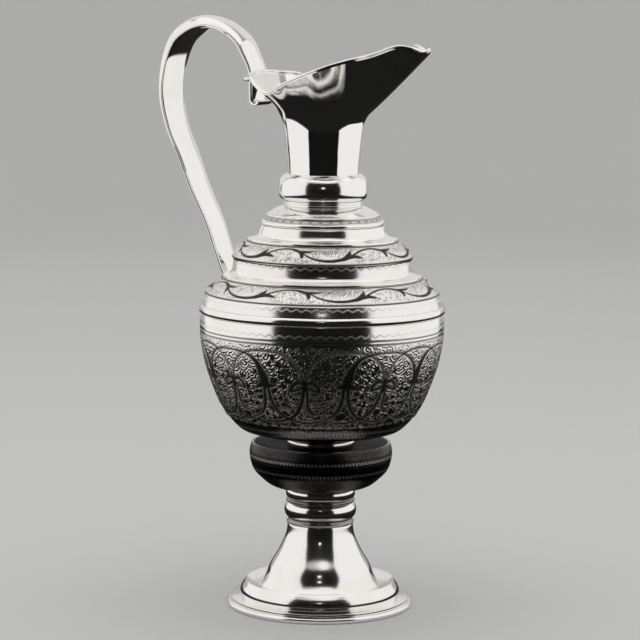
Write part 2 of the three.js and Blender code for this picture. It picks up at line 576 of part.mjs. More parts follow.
// Cross-section of the handle at one place: shares of the half width and of the thickness
function section(base, out, shape, width, thickness) {
  return shape.map(([y, n]) => [base.x + out.x * thickness * n, y * width, base.y + out.y * thickness * n]);
}

// The strip's upper end curls in under the mouth
function curlRows(path, width) {
  const end = path.getPointAt(1);
  const along = path.getTangentAt(1);
  const out = new THREE.Vector2(-along.y, along.x);
  const centre = end.clone().addScaledVector(out, CURL_RADIUS);
  return [40, 80, 120, 160].map((deg) => {
    const turn = THREE.MathUtils.degToRad(deg);
    const inward = out.clone().multiplyScalar(Math.cos(turn)).addScaledVector(along, -Math.sin(turn));
    const here = centre.clone().addScaledVector(inward, -CURL_RADIUS);
    return section(here, inward, [[-1, 0], [1, 0], [1, 1], [-1, 1]], width, STRIP_THICKNESS);
  });
}

// Wire that leaves the rim on one side, passes round the handle and returns on the other
function claspRows(rimA, z) {
  const side = HANDLE_HALF_WIDTH * HANDLE_TAPER[HANDLE_TAPER.length - 1][1] + SOLDER_GAP * 2 + CLASP_RADIUS;
  const front = rimA + SOLDER_GAP * 2 + CLASP_RADIUS;
  const back = MOUTH_BACK + RIM_WIRE_RADIUS + SOLDER_GAP;
  const half = [
    [back, side], [(back + front) / 2, side], [front - CLASP_RADIUS * 0.3, side - CLASP_RADIUS * 0.6],
    [front, side - CLASP_RADIUS * 1.8],
  ];
  const path = [...half, ...half.slice().reverse().map(([a, y]) => [a, -y])];
  const sides = 6;
  return path.map(([a, y], i) => {
    const before = path[Math.max(i - 1, 0)];
    const after = path[Math.min(i + 1, path.length - 1)];
    const out = across([before[1], before[0]], [after[1], after[0]]);
    return Array.from({ length: sides }, (_, k) => {
      const turn = (2 * Math.PI * k) / sides;
      const reach = CLASP_RADIUS * Math.cos(turn);
      return [-(a + out[1] * reach), y + out[0] * reach, z + CLASP_RADIUS * Math.sin(turn)];
    });
  });
}

// Filled outline of the shoulder, larger by a clearance
function grown(outer, clearance) {
  const wider = outer.map(([r, z]) => [r + clearance, z + clearance]);
  return [[0, Z_BODY], [wider[0][0], Z_BODY], ...wider, [0, wider[wider.length - 1][1]]];
}

addFoot();
addStem();
addBowl();
addShoulder();
addNeck();
addHandle();

// The origin lies under the middle of the whole jug
const box = new THREE.Box3().setFromObject(jug);
jug.position.x = -(box.min.x + box.max.x) / 2;

export default jug;
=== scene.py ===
"""Looks of a footed silver wine jug with engraved bands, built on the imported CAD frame.

Lengths are in millimetres from the jug's axis and the table; meshes are written in metres.
"""
import math

import bmesh
import bpy
import numpy as np
from mathutils import Matrix, Vector


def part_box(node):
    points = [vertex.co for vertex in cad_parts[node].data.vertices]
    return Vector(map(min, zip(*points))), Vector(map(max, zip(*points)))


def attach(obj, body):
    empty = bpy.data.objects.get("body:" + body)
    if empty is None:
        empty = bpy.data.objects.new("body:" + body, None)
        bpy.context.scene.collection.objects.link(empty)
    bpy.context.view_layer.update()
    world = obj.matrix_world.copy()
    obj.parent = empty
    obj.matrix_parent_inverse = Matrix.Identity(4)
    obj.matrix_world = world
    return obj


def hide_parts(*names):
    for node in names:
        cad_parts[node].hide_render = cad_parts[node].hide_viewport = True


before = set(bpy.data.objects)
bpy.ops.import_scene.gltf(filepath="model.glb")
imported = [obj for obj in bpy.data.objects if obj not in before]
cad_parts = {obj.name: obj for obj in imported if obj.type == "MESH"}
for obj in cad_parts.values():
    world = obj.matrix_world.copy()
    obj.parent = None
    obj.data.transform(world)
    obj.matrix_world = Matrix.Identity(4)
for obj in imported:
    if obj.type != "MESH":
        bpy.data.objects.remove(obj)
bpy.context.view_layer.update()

MM = 0.001
TURN = 2 * math.pi
low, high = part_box("bowl_body")
AXIS_X = (low[0] + high[0]) / 2 / MM
RANDOM_SEED = 11
rng = np.random.default_rng(RANDOM_SEED)
jug_pieces = bpy.data.collections.new("jug_pieces")

# Photograph's camera, seen from the jug's axis
CAMERA_TURN = math.radians(30)
CAMERA_DISTANCE = 1338
CAMERA_HEIGHT = 320.6
CAMERA_PITCH = math.radians(7.5)
CAMERA_ROLL = math.radians(0.5)
FOCAL_PIXELS = 2699
PHOTO_PIXELS = 640
SENSOR_WIDTH = 36
AXIS_OFFSET_PIXELS = 2
FRONT = -math.pi / 2 + CAMERA_TURN  # direction of the camera round the axis
AXIS = Vector((AXIS_X * MM, 0, 0))
UP = Vector((0, 0, 1))
TO_CAMERA = Vector((math.cos(FRONT), math.sin(FRONT), 0))
TO_RIGHT = Vector((-TO_CAMERA.y, TO_CAMERA.x, 0))

# Stage and dark studio card, from the jug's axis, in metres and degrees
STAGE_FLAT, STAGE_BEND, STAGE_TOP = 2.0, 0.8, 3.2  # radius of the floor and of its bend, top of the wall
STAGE_RINGS = (0.0001, 0.5)  # radii of the floor's inner rows
STAGE_COLUMNS, STAGE_BEND_ROWS = 96, 12
CARD_INNER, CARD_OUTER = 0.05, 1.1  # on the floor
CARD_AWAY, CARD_TOP, CARD_SPREAD = 0.66, 0.72, 44  # standing
CARD_LIFT, CARD_BEHIND = 0.002, 0.004  # above the floor, and behind the side panels
CARD_COLUMNS = 40

# Soft lights in metres: width, height and radiance, then distance from the axis and height of the middle
SIDE_PANEL, SIDE_AWAY, SIDE_Z = (0.91, 0.7, 0.9), 0.42, 0.36
SIDE_OFFSET = 0.035  # away from the camera
FRONT_LAMP, LAMP_AWAY, LAMP_Z = (0.06, 0.03, 4), 0.6, 0.36
BACK_PANEL, BACK_AWAY, BACK_Z = (2.2, 1.2, 0.35), 1.2, 0.9
TOP_PANEL, TOP_Z = (2.2, 2.2, 0.5), 1.5
WORLD_GREY = 0.48

# Fineness of the meshes
SEGMENTS = 192  # round the plain turned pieces
ROW, INNER_ROW = 1.2, 9  # spacing of rows, and on the unseen side of engraved pieces
CURVE_STEPS = 16  # between two points of an outline
EDGE, EDGE_SHARE = 0.2, 0.3  # rounding of hard corners, and its greatest share of a side
HARD_TURN = math.radians(45)  # turn of an outline at a hard corner
LEVEL, LEVEL_FACE = 0.02, 1.2  # tolerance of a level line, and least width of a level face
SHARP_EDGE = math.radians(38)
MOUTH_COLUMNS = 240
MOUTH_ROWS = 28
HANDLE_STATIONS = 180
DOME_POINTS = 25  # across the handle's shell
WIRE_SIDES, CLASP_SIDES = 12, 14

# Mouth and handle, as in the part's source
NECK_RADIUS, NECK_TOP_RADIUS = 18, 21.6
Z_NECK, Z_FLARE = 218, 246
NECK_SHEET = 1.2
SPOUT_REACH, MOUTH_BACK, MOUTH_HALF_WIDTH, MOUTH_RISE = 59, 35.6, 36, 34.6
RIM_WIRE_RADIUS = 0.8
SOLDER_GAP = 0.3
HANDLE_REACH, HANDLE_RISE = 88.7, 22.7
HANDLE_HALF_WIDTH = 10
HANDLE_CROWN, HANDLE_END_CROWN = 7.6, 2.6
STRIP_THICKNESS = 1.1
SHELL_CLEAR = 0.32
HANDLE_FOOT = (51.9, 164.4)  # lower end of the inner face
CURL_RADIUS = 3
CURL_TURNS = np.radians(np.arange(10, 161, 10))
CLASP_RADIUS, CLASP_DROP, CLASP_BEND = 1.2, 2.6, 0.6
LIP = 0.2  # of the sheet, up into the rim wire
FLARE_OUT, FLARE_UP = 0.3, 0.5  # bend of the flare, as shares of its way
BEAK_OUT, BEAK_UP = 0.09, 0.35  # taken off these under the beak
BEAK_EDGE, BEAK_MIDDLE = 0.55, 0.99  # cosines where the beak begins and is whole
EASE_ROWS, EASE_ROUNDS = 5.0, 30  # smoothing where the flare leaves the neck
SEAT_DEPTH, SEAT_SHARE = 0.25, 0.3  # how deep the handle dips into the shoulder, and its length looked at
SHELL_WIDTH, SHELL_SIDE = 0.98, 0.15  # foot of the handle's shell, and its upright side, as shares
NECK_SHAPE = [(0, 0), (0.055, 0.16), (0.21, 0.36), (0.445, 0.64), (0.64, 0.82), (1, 1)]
RIM_SHAPE = [
    (1, 0, 0.962, 0), (0.963, 0.083, 0.919, 9), (0.866, 0.164, 0.983, 17), (0.786, 0.281, 1, 25),
    (0.641, 0.583, 0.88, 35), (0.498, 0.869, 0.797, 49), (0.295, 0.997, 0.682, 66), (0.124, 0.989, 0.583, 83),
    (-0.104, 0.944, 0.458, 101), (-0.441, 0.836, 0.324, 120), (-0.789, 0.7, 0.529, 140),
    (-0.961, 0.383, 0.572, 160), (-1, 0, 0.592, 180),
]
STRIP_EDGE = [
    (0, 0), (0.5, 0), (0.94, 0.02), (0.985, 0.15), (1, 0.5), (0.985, 0.85), (0.94, 0.98), (0.5, 1), (0, 1),
]
LEG_SHAPE = [
    (-0.3, -0.1), (0, 0), (0.149, 0.1), (0.296, 0.214), (0.545, 0.357), (0.712, 0.4715), (0.914, 0.603),
    (1, 0.727), (0.943, 0.847),
]
LOOP_SHAPE = [
    (0.861, 0.63), (0.772, 0.8), (0.644, 0.945), (0.515, 1), (0.38, 0.96), (0.254, 0.824), (0.15, 0.633),
    (0.077, 0.37), (0.026, 0.16), (0, -0.02), (0, -0.276), (0, -0.57),
]
HANDLE_TAPER = [
    (0, 0.72, 0.2), (0.2, 0.8, 0.24), (0.45, 0.95, 0.36), (0.6, 1, 0.75), (0.7, 1, 1), (0.82, 0.9, 0.32),
    (1, 0.7, 0),
]


# Curves

def spline(points, count, closed=False):
    """Centripetal spline through the points: `count` places on each leg, and the last point if open."""
    points = np.asarray(points, float)
    if closed:
        ring = np.vstack([points[-1:], points, points[:2]])
    else:
        ring = np.vstack([2 * points[:1] - points[1:2], points, 2 * points[-1:] - points[-2:-1]])
    made = []
    for p0, p1, p2, p3 in zip(ring, ring[1:], ring[2:], ring[3:]):
        k0, k1, k2 = (max(np.linalg.norm(b - a), 1e-6) ** 0.5 for a, b in ((p0, p1), (p1, p2), (p2, p3)))
        out = k1 * ((p1 - p0) / k0 - (p2 - p0) / (k0 + k1) + (p2 - p1) / k1)
        into = k1 * ((p2 - p1) / k1 - (p3 - p1) / (k1 + k2) + (p3 - p2) / k2)
        t = (np.arange(count) / count)[:, None]
        bend = 2 * p1 - 2 * p2 + out + into
        made.append(p1 + out * t + (-3 * p1 + 3 * p2 - 2 * out - into) * t ** 2 + bend * t ** 3)
    return np.vstack(made) if closed else np.vstack(made + [points[-1:]])


def lengths(points):
    """Distance along a line at each of its points."""
    steps = np.linalg.norm(np.diff(points, axis=0), axis=1)
    return np.concatenate([[0], np.cumsum(steps)])


def evenly(points, count):
    """The line at `count` places with equal distances."""
    along = lengths(points)
    places = np.linspace(0, along[-1], count)
    return np.stack([np.interp(places, along, column) for column in points.T], 1)


# Outlines of the turned pieces

def section(node):
    """Outline of a turned CAD node on its +X half plane, (radius, height), up its outer side first."""
    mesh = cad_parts[node].data
    places = np.array([v.co for v in mesh.vertices]) / MM - [AXIS_X, 0, 0]
    on_plane = (np.abs(places[:, 1]) < LEVEL) & (places[:, 0] > -LEVEL)
    keys = [(round(float(p[0]), 2), round(float(p[2]), 2)) for p in places]
    links = {}
    for edge in mesh.edges:
        a, b = edge.vertices
        if on_plane[a] and on_plane[b] and keys[a] != keys[b]:
            links.setdefault(keys[a], set()).add(keys[b])
            links.setdefault(keys[b], set()).add(keys[a])
    ends = sorted((key for key in links if len(links[key]) == 1), key=lambda key: key[1])
    walk = [ends[0] if ends else min(links, key=lambda key: (key[1], -key[0]))]
    while True:
        ahead = sorted(key for key in links[walk[-1]] if key not in walk)
        if not ahead:
            break
        walk.append(ahead[0])
    r, z = np.array(walk).T
    if not ends and (r * np.roll(z, -1) - z * np.roll(r, -1)).sum() < 0:
        walk = walk[:1] + walk[:0:-1]
    return np.array(walk), bool(ends)


def hard_corners(points, is_open):
    """Which outline points are hard corners: sharp turns, and the ends of level faces."""
    before = points - np.roll(points, 1, 0)
    after = np.roll(points, -1, 0) - points
    turn = np.arctan2(before[:, 0] * after[:, 1] - before[:, 1] * after[:, 0], (before * after).sum(1))
    level = (np.abs(after[:, 1]) < LEVEL) & (np.abs(after[:, 0]) > LEVEL_FACE)
    hard = (np.abs(turn) > HARD_TURN) | level | np.roll(level, 1)
    if is_open:
        hard[[0, -1]] = True
    return hard


def rounded(corner, before, after):
    """Three points that round a hard corner."""
    def towards(other):
        length = np.linalg.norm(other - corner)
        return corner + (other - corner) / length * min(EDGE, EDGE_SHARE * length)

    start, end = towards(before), towards(after)
    return [start, (start + end) / 4 + corner / 2, end]


def fine_outline(node, row, inner_row):
    """Smooth outline of a turned node and how many of its points lie on the outer side."""
    points, is_open = section(node)
    count = len(points)
    hard = hard_corners(points, is_open)
    top = max(range(count), key=lambda i: (points[i, 1], points[i, 0]))
    corners = [i for i in range(count) if hard[i]]
    if top not in corners:
        corners = sorted(corners + [top])
    legs = list(zip(corners, corners[1:]))
    if not is_open:
        legs.append((corners[-1], corners[0] + count))
    made, outer = [], 0
    for first, last in legs:
        run = points[[i % count for i in range(first, last + 1)]]
        spacing = row if last <= top else inner_row
        curve = spline(run, CURVE_STEPS) if len(run) > 2 else run
        steps = max(int(round(lengths(curve)[-1] / spacing)), len(run) - 1)
        level = abs(run[-1, 1] - run[0, 1]) < LEVEL and len(run) == 2
        made.append(evenly(curve, 2 if level else steps + 1))
    outline = []
    for k, leg in enumerate(made):
        if is_open and k == 0:
            outline.append(leg[0])
        else:
            outline.extend(rounded(leg[0], made[k - 1][-2], leg[1]))
        outline.extend(leg[1:-1])
        if legs[k][1] == top:
            outer = len(outline) + 2
    if is_open:
        outline.append(made[-1][-1])
    return np.array(outline), outer, not is_open


# Meshes

def grid_faces(rows, columns, loop):
    """Four-sided faces between rows of points that go all round; a loop joins the last row to the first."""
    i = np.arange(rows if loop else rows - 1)[:, None]
    j = np.arange(columns)[None, :]
    i_next, j_next = (i + 1) % rows, (j + 1) % columns
    corners = [i * columns + j, i * columns + j_next, i_next * columns + j_next, i_next * columns + j]
    return np.stack(np.broadcast_arrays(*corners), -1).reshape(-1, 4).tolist()


def show(name, data):
    """Adds an object to the scene."""
    thing = bpy.data.objects.new(name, data)
    bpy.context.scene.collection.objects.link(thing)
    return thing


def add_piece(rows, loop, look, node, fields=None, capped=False):
    """Adds a mesh of rows of points that replaces a CAD node, with one value per point for each field."""
    name = "fine_" + node
    count, columns = rows.shape[:2]
    faces = grid_faces(count, columns, loop)
    if capped:
        faces.append(list(range(columns))[::-1])
        faces.append(list(range((count - 1) * columns, count * columns)))
    mesh = bpy.data.meshes.new(name)
    mesh.from_pydata(((rows.reshape(-1, 3) + [AXIS_X, 0, 0]) * MM).tolist(), [], faces)
    for field, values in (fields or {}).items():
        layer = mesh.attributes.new(field, "FLOAT", "POINT")
        layer.data.foreach_set("value", values.astype(np.float32))
    work = bmesh.new()
    work.from_mesh(mesh)
    bmesh.ops.remove_doubles(work, verts=work.verts, dist=1e-7)
    if capped:
        bmesh.ops.recalc_face_normals(work, faces=work.faces)
    work.to_mesh(mesh)
    work.free()
    mesh.shade_smooth()
    mesh.set_sharp_from_angle(angle=SHARP_EDGE)
    mesh.materials.append(look[0])
    piece = show(name, mesh)
    jug_pieces.objects.link(piece)
    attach(piece, "root")
    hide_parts(node)


def unit(vectors):
    """The vectors at length 1."""
    return vectors / np.maximum(np.linalg.norm(vectors, axis=1), 1e-9)[:, None]


def outward(outline):
    """Unit vectors across an outline, to its outer side."""
    along = np.gradient(outline, axis=0)
    return unit(np.stack([along[:, 1], -along[:, 0]], 1))


def add_turned(node, look, segments=SEGMENTS, row=ROW, engrave=None, rounds=0):
    """Turns a node's smooth outline about the axis; engraves its outer side, or evens it in some rounds."""
    outline, outer, loop = fine_outline(node, row, row if engrave is None else INNER_ROW)
    side = outline[:outer - 2]
    for _ in range(rounds):
        side[1:-1] += 0.5 * ((side[:-2] + side[2:]) / 2 - side[1:-1])
    rows = len(outline)
    angle = np.arange(segments) * TURN / segments
    radius = np.repeat(outline[:, :1], segments, 1)
    height = np.repeat(outline[:, 1:], segments, 1)
    fields = {}
    if engrave:
        surface = Surface(outline[:outer], angle)
        engrave(surface)
        across = outward(outline[:outer])
        radius[:outer] += surface.depth * across[:, :1]
        height[:outer] += surface.depth * across[:, 1:]
        surface.fields["niello"] *= 1 - surface.fields.pop("vein")
        for name, values in surface.fields.items():
            inner = np.repeat(values[-1:], rows - outer, 0)
            fields[name] = np.vstack([values, inner]).ravel()
    points = np.stack([radius * np.cos(angle), radius * np.sin(angle), height], -1)
    add_piece(points, loop, look, node, fields)


# Engraving

LINE_SOFT, CUT_SOFT, FINE_SOFT, AREA_SOFT = 0.35, 0.4, 0.3, 0.5  # width of soft edges
LINE_DEPTH = -0.12
ZIGZAG_PERIOD, ZIGZAG_SWING, ZIGZAG_HALF, ZIGZAG_DEPTH = 5, 0.5, 0.24, 0.06
ZIGZAG_SLOPE = 0.75  # widens the slanting parts
ROPE_PERIOD, ROPE_HALF, ROPE_SLANT = 1.9, 0.8, 1.6
ROPE_DARK, ROPE_LIFT, ROPE_SINK = 0.8, 0.16, 0.12


class Surface:
    """Outer side of a turned piece: rows along its outline, columns round the axis."""

    def __init__(self, outline, angle):
        self.radius = np.maximum(outline[:, 0], 1)
        self.height = outline[:, 1]
        self.along = lengths(outline)
        self.angle = angle
        shape = (len(outline), len(angle))
        self.depth = np.zeros(shape)
        self.fields = {name: np.zeros(shape) for name in ("niello", "ground", "cut", "vein", "fill")}

    def at_height(self, z):
        return np.interp(z, self.height, self.along)

    def radius_at(self, along):
        return np.interp(along, self.along, self.radius)

    def stroke(self, field, points, relief, soft, strength=1.0):
        """Draws one line of (angle, distance along the outline, half width) points."""
        turn, place, width = np.asarray(points, float).T
        reach = width.max() + soft
        rows = np.nonzero((self.along > place.min() - reach) & (self.along < place.max() + reach))[0]
        if not len(rows):
            return
        middle = (turn.min() + turn.max()) / 2
        offset = (self.angle - middle + math.pi) % TURN - math.pi
        span = (turn.max() - turn.min()) / 2 + reach / self.radius[rows].min()
        columns = np.nonzero(np.abs(offset) < span)[0]
        size = self.radius[rows][:, None]
        x, y = offset[columns][None, :] * size, self.along[rows][:, None]
        best = np.full(x.shape, -9.0)
        for k in range(len(turn) - 1):
            ax, bx = (turn[k] - middle) * size, (turn[k + 1] - middle) * size
            dx, dy = bx - ax, place[k + 1] - place[k]
            share = ((x - ax) * dx + (y - place[k]) * dy) / (dx ** 2 + dy ** 2 + 1e-9)
            share = np.clip(share, 0, 1)
            away = np.hypot(x - ax - share * dx, y - place[k] - share * dy)
            best = np.maximum(best, width[k] + (width[k + 1] - width[k]) * share - away)
        cover = np.clip(best / soft + 0.5, 0, 1)
        box = np.ix_(rows, columns)
        self.fields[field][box] = np.maximum(self.fields[field][box], cover * strength)
        stronger = np.maximum if relief > 0 else np.minimum
        self.depth[box] = stronger(self.depth[box], relief * cover)

    def mark(self, field, cover):
        """Adds to a field where the new values are higher."""
        self.fields[field] = np.maximum(self.fields[field], cover)

    def ring(self, field, z, width, relief):
        """Draws a level line all round."""
        best = width - np.abs(self.along - self.at_height(z))
        cover = np.clip(best / LINE_SOFT + 0.5, 0, 1)[:, None]
        self.mark(field, cover)
        self.depth += relief * cover

    def area(self, field, z0, z1, value=1.0):
        """Fills the band between two heights."""
        inside = np.minimum(self.along - self.at_height(z0), self.at_height(z1) - self.along)
        cover = value * np.clip(inside / AREA_SOFT + 0.5, 0, 1)[:, None]
        self.mark(field, cover)

    def zigzag(self, z):
        """Bright-cut wavy line all round."""
        place = self.at_height(z)
        waves = int(round(TURN * self.radius_at(place) / ZIGZAG_PERIOD))
        wave = place + ZIGZAG_SWING * np.cos(waves * self.angle)[None, :]
        best = ZIGZAG_HALF - np.abs(self.along[:, None] - wave) * ZIGZAG_SLOPE
        cover = np.clip(best / CUT_SOFT + 0.5, 0, 1)
        self.mark("cut", cover)
        self.depth -= ZIGZAG_DEPTH * cover

    def rope(self, z):
        """Line of short slanting cuts all round."""
        place = self.at_height(z)
        cuts = int(round(TURN * self.radius_at(place) / ROPE_PERIOD))
        away = (self.along - place)[:, None]
        wave = 0.5 + 0.5 * np.cos(cuts * self.angle[None, :] + ROPE_SLANT * away / ROPE_HALF)
        cover = np.clip((ROPE_HALF - np.abs(away)) / CUT_SOFT + 0.5, 0, 1)
        self.mark("cut", cover * wave)
        self.mark("vein", cover * wave)
        self.mark("niello", cover * (1 - wave) * ROPE_DARK)
        self.depth += cover * (ROPE_LIFT * wave - ROPE_SINK)


# One wave of the running vine: share of the wave, share of the band's width, half width
VINE_STEM = [
    (-0.36, 0.68, 0.2), (-0.3, 0.58, 0.26), (-0.22, 0.385, 0.32), (-0.14, 0.265, 0.38), (-0.05, 0.205, 0.44),
    (0.04, 0.205, 0.48), (0.11, 0.25, 0.55), (0.18, 0.34, 0.8), (0.215, 0.46, 0.85), (0.236, 0.6, 0.5),
    (0.247, 0.74, 0.08),
]
VINE_FORK = [(0.14, 0.28, 0.3), (0.2, 0.36, 0.7), (0.26, 0.41, 0.68), (0.32, 0.39, 0.55), (0.38, 0.31, 0.08)]
VINE_ARCH = [
    (0.2, 0.38, 0.32), (0.265, 0.475, 0.34), (0.33, 0.615, 0.36), (0.42, 0.765, 0.38), (0.5, 0.815, 0.4),
    (0.57, 0.8, 0.44), (0.64, 0.71, 0.52), (0.685, 0.585, 0.64), (0.7, 0.45, 0.66), (0.695, 0.31, 0.12),
]
VINE_LEAF = [
    (0.54, 0.81, 0.15), (0.63, 0.7, 0.42), (0.7, 0.66, 0.58), (0.76, 0.66, 0.52), (0.81, 0.69, 0.28),
    (0.85, 0.75, 0.06),
]
VINE_LINES = (VINE_STEM, VINE_FORK, VINE_ARCH, VINE_LEAF)
# Patches filled with small curls: first and last share of the wave, of the band's width, and how many
VINE_FILL = [
    (0.3, 0.66, 0.1, 0.33, 22), (0.36, 0.64, 0.38, 0.66, 14), (-0.17, 0.2, 0.4, 0.9, 22),
    (0.68, 0.9, 0.1, 0.4, 12), (0.2, 0.36, 0.7, 0.9, 8),
]
VINE_FILL_SOFT = 1
VINE_SWAY = 0.012  # random shift of each wave, as a share of it
VINE_WIDEN = 1.55
VINE_BORDERS = ((0.2, 0.42), (0.35, 0.4))  # lower and upper line: distance into the band, half width
VINE_CURL = (0.17, -0.1, 0.75)  # half width, relief and darkness of a small curl
STROKE_STEPS = 6  # between two points of a drawn line

# Bands of the tiers: lower and upper height, number of waves, direction of a trough
LOWER_VINE, LOWER_ZIGZAG = (158.6, 166.5, 7, FRONT + math.radians(9)), 156.5
MIDDLE_VINE, MIDDLE_ZIGZAG = (176.7, 185, 6, FRONT + math.radians(5)), 174.7
DASH_LOW, DASH_HIGH, DASH_DARK = 195.15, 196.55, 0.75
DASHES, DASH_TURN, DASH_HALF, DASH_LIFT = 36, 0.1, 0.3, 0.06
# Heights of the cup's ornament, and painted shade: how much niello colour is laid over the whole cup
CUP_LOW, CUP_HIGH, CUP_PAINTED_SHADE = 60.4, 85.2, 0.7
CUP_ROPES, CUP_LINE_AWAY, CUP_LINE_HALF = (70.7, 76.8), 1.3, 0.22


def vine(surface, z0, z1, waves, trough):
    """Running vine between two dark border lines."""
    s0, s1 = surface.at_height(z0), surface.at_height(z1)
    width = s1 - s0
    surface.area("ground", z0, z1)
    wave = TURN / waves
    for k in range(waves):
        start = trough + (k + rng.uniform(-VINE_SWAY, VINE_SWAY)) * wave
        for line in VINE_LINES:
            fine = spline(line, STROKE_STEPS)
            fine[:, 0] = start + fine[:, 0] * wave
            fine[:, 1] = s0 + width * fine[:, 1]
            fine[:, 2] *= VINE_WIDEN
            surface.stroke("niello", fine, LINE_DEPTH, FINE_SOFT)
        for first, last, low_share, high_share, count in VINE_FILL:
            middle, half = s0 + width * (low_share + high_share) / 2, width * (high_share - low_share) / 2
            patch = [(start + share * wave, middle, half) for share in (first, last)]
            surface.stroke("fill", patch, 0, VINE_FILL_SOFT)
            for _ in range(count):
                turn = start + rng.uniform(first, last) * wave
                place = s0 + width * rng.uniform(low_share, high_share)
                tilt = rng.uniform(0.6, 2.4)
                bend = rng.uniform(0.7, 1.3) * rng.choice([-1, 1])
                size = rng.uniform(0.5, 0.95)
                curl(surface, turn, place, tilt, size, bend, "niello", *VINE_CURL)
    (low_in, low_half), (high_in, high_half) = VINE_BORDERS
    surface.ring("niello", z0 + low_in, low_half, LINE_DEPTH)
    surface.ring("niello", z1 - high_in, high_half, LINE_DEPTH)


def curl(surface, turn, place, tilt, size, bend, field, width, relief, strength=1.0):
    """Short comma-shaped cut of the ground."""
    radius = surface.radius_at(place)
    share = np.linspace(-1, 1, 7)
    bow = bend * (1 - share ** 2) * 0.8
    x = size * (share * math.cos(tilt) - bow * math.sin(tilt))
    y = size * (share * math.sin(tilt) + bow * math.cos(tilt))
    half = width * (1.1 - 0.7 * np.abs(share - 0.3))
    surface.stroke(field, np.stack([turn + x / radius, place + y, half], 1), relief, FINE_SOFT, strength)


def engrave_lower_tier(surface):
    vine(surface, *LOWER_VINE)
    surface.zigzag(LOWER_ZIGZAG)


def engrave_middle_tier(surface):
    vine(surface, *MIDDLE_VINE)
    surface.zigzag(MIDDLE_ZIGZAG)


def engrave_dash_band(surface):
    surface.area("niello", DASH_LOW, DASH_HIGH, DASH_DARK)
    place = (surface.at_height(DASH_LOW) + surface.at_height(DASH_HIGH)) / 2
    for k in range(DASHES):
        turn = TURN * k / DASHES
        dash = [(turn, place, DASH_HALF), (turn + DASH_TURN, place, DASH_HALF)]
        surface.stroke("cut", dash, DASH_LIFT, FINE_SOFT)
    surface.fields["niello"] *= 1 - surface.fields["cut"]


def engrave_cup(surface):
    # Painted shade: the whole cup is painted dark, through its ground and a thin coat of niello colour
    surface.area("ground", CUP_LOW, CUP_HIGH)
    surface.area("niello", CUP_LOW, CUP_HIGH, CUP_PAINTED_SHADE)
    for z in CUP_ROPES:
        surface.ring("niello", z - CUP_LINE_AWAY, CUP_LINE_HALF, LINE_DEPTH)
        surface.ring("niello", z + CUP_LINE_AWAY, CUP_LINE_HALF, LINE_DEPTH)
        surface.rope(z)


# Bowl ornament, two interlaced rows of arches that grow from stems: degrees from the stem, height, half width
ARCH_SPAN = 40
THIN_ARCH = [
    (0.3, 120.6, 0.8), (0.9, 123, 0.6), (2.4, 127.6, 0.42), (5.4, 131.8, 0.42), (9.8, 134.6, 0.42),
    (14.5, 135.9, 0.42), (20, 136.3, 0.42),
]
LEAF_ARCH = [
    (0, 118.6, 1.5), (0.4, 121.6, 2.6), (1.2, 124.6, 2.2), (2.3, 127.6, 1.7), (4.2, 130.8, 1.2),
    (7, 133.2, 0.8), (11, 134.6, 0.5), (16, 135.2, 0.42), (20, 135.4, 0.42), (26, 135, 0.45),
    (31, 133.4, 0.55), (35.5, 129.8, 0.75), (38, 125.4, 1), (39.2, 121.2, 1.1),
]
LEAF_HOOKS = [
    [(0.5, 119.6, 1.5), (3.6, 118.6, 1.2), (6.4, 117, 0.2)],
    [(-0.5, 119.6, 1.5), (-3.4, 119, 1), (-6, 120.2, 0.3), (-7.4, 121.6, 0.2)],
]
LEAF_LEGS = [
    [(-1, 118, 0.9), (-1.5, 112.6, 0.85), (-2.7, 108.2, 0.8), (-5.2, 104.8, 0.65), (-9.6, 102.8, 0.35)],
    [
        (1.2, 118, 0.9), (1.6, 112.6, 0.9), (3.6, 107.2, 0.85), (7.4, 103.5, 0.75), (13, 101.3, 0.65),
        (20, 100.3, 0.6), (26, 101.1, 0.5), (29.7, 102.6, 0.35),
    ],
]
LOBE = [
    (0.5, 119.2, 0.6), (1.4, 120.8, 0.8), (4, 121, 0.9), (6.1, 119.4, 0.9), (7, 116.7, 0.7), (5, 117.2, 0.7),
    (2.6, 118.2, 0.7), (0.5, 119.2, 0.6),
]
LOBE_VEIN = [(2, 119.8, 0.3), (3.8, 119.6, 0.5), (5.4, 118.4, 0.25)]
LOBE_LEGS = [
    [
        (-0.4, 119, 0.8), (-1.1, 114.6, 0.85), (-2.2, 110.4, 0.85), (-4.6, 105.8, 0.85), (-9, 102.6, 0.75),
        (-15, 100.9, 0.65), (-23, 100.3, 0.55), (-29.6, 102.2, 0.35),
    ],
    [
        (0.6, 119, 0.8), (1.2, 113.4, 0.7), (1.2, 109, 0.7), (2.4, 106.4, 0.7), (4.6, 105.2, 0.5),
        (6.4, 105.6, 0.2),
    ],
]
SIDE_LEAVES = [
    [(3, 114.6, 0.2), (5.6, 114, 0.6), (8.4, 115.2, 0.15)],
    [(3.4, 111.6, 0.2), (6.4, 110.8, 0.65), (9.6, 112, 0.15)],
    [(5, 108.4, 0.2), (7.6, 107.6, 0.55), (10, 108.6, 0.15)],
    [(10, 134.9, 0.25), (10, 136.8, 0.5), (10, 138.6, 0.1)],
    [(8.6, 135.2, 0.2), (7.4, 136.8, 0.5), (5.4, 138.2, 0.1)],
    [(6.8, 136, 0.2), (4.8, 137, 0.45), (2, 138, 0.1)],
]
LOW_LEAVES = [
    [(-10, 98.6, 0.2), (-7.6, 97.9, 0.6), (-5, 98.8, 0.15)],
    [(-4, 98.6, 0.2), (-1.4, 97.9, 0.6), (1.4, 98.7, 0.15)],
    [(3.4, 98.5, 0.2), (6, 97.8, 0.6), (9, 98.8, 0.15)],
]
BAND_LOW, BAND_HIGH = 96.5, 139.2
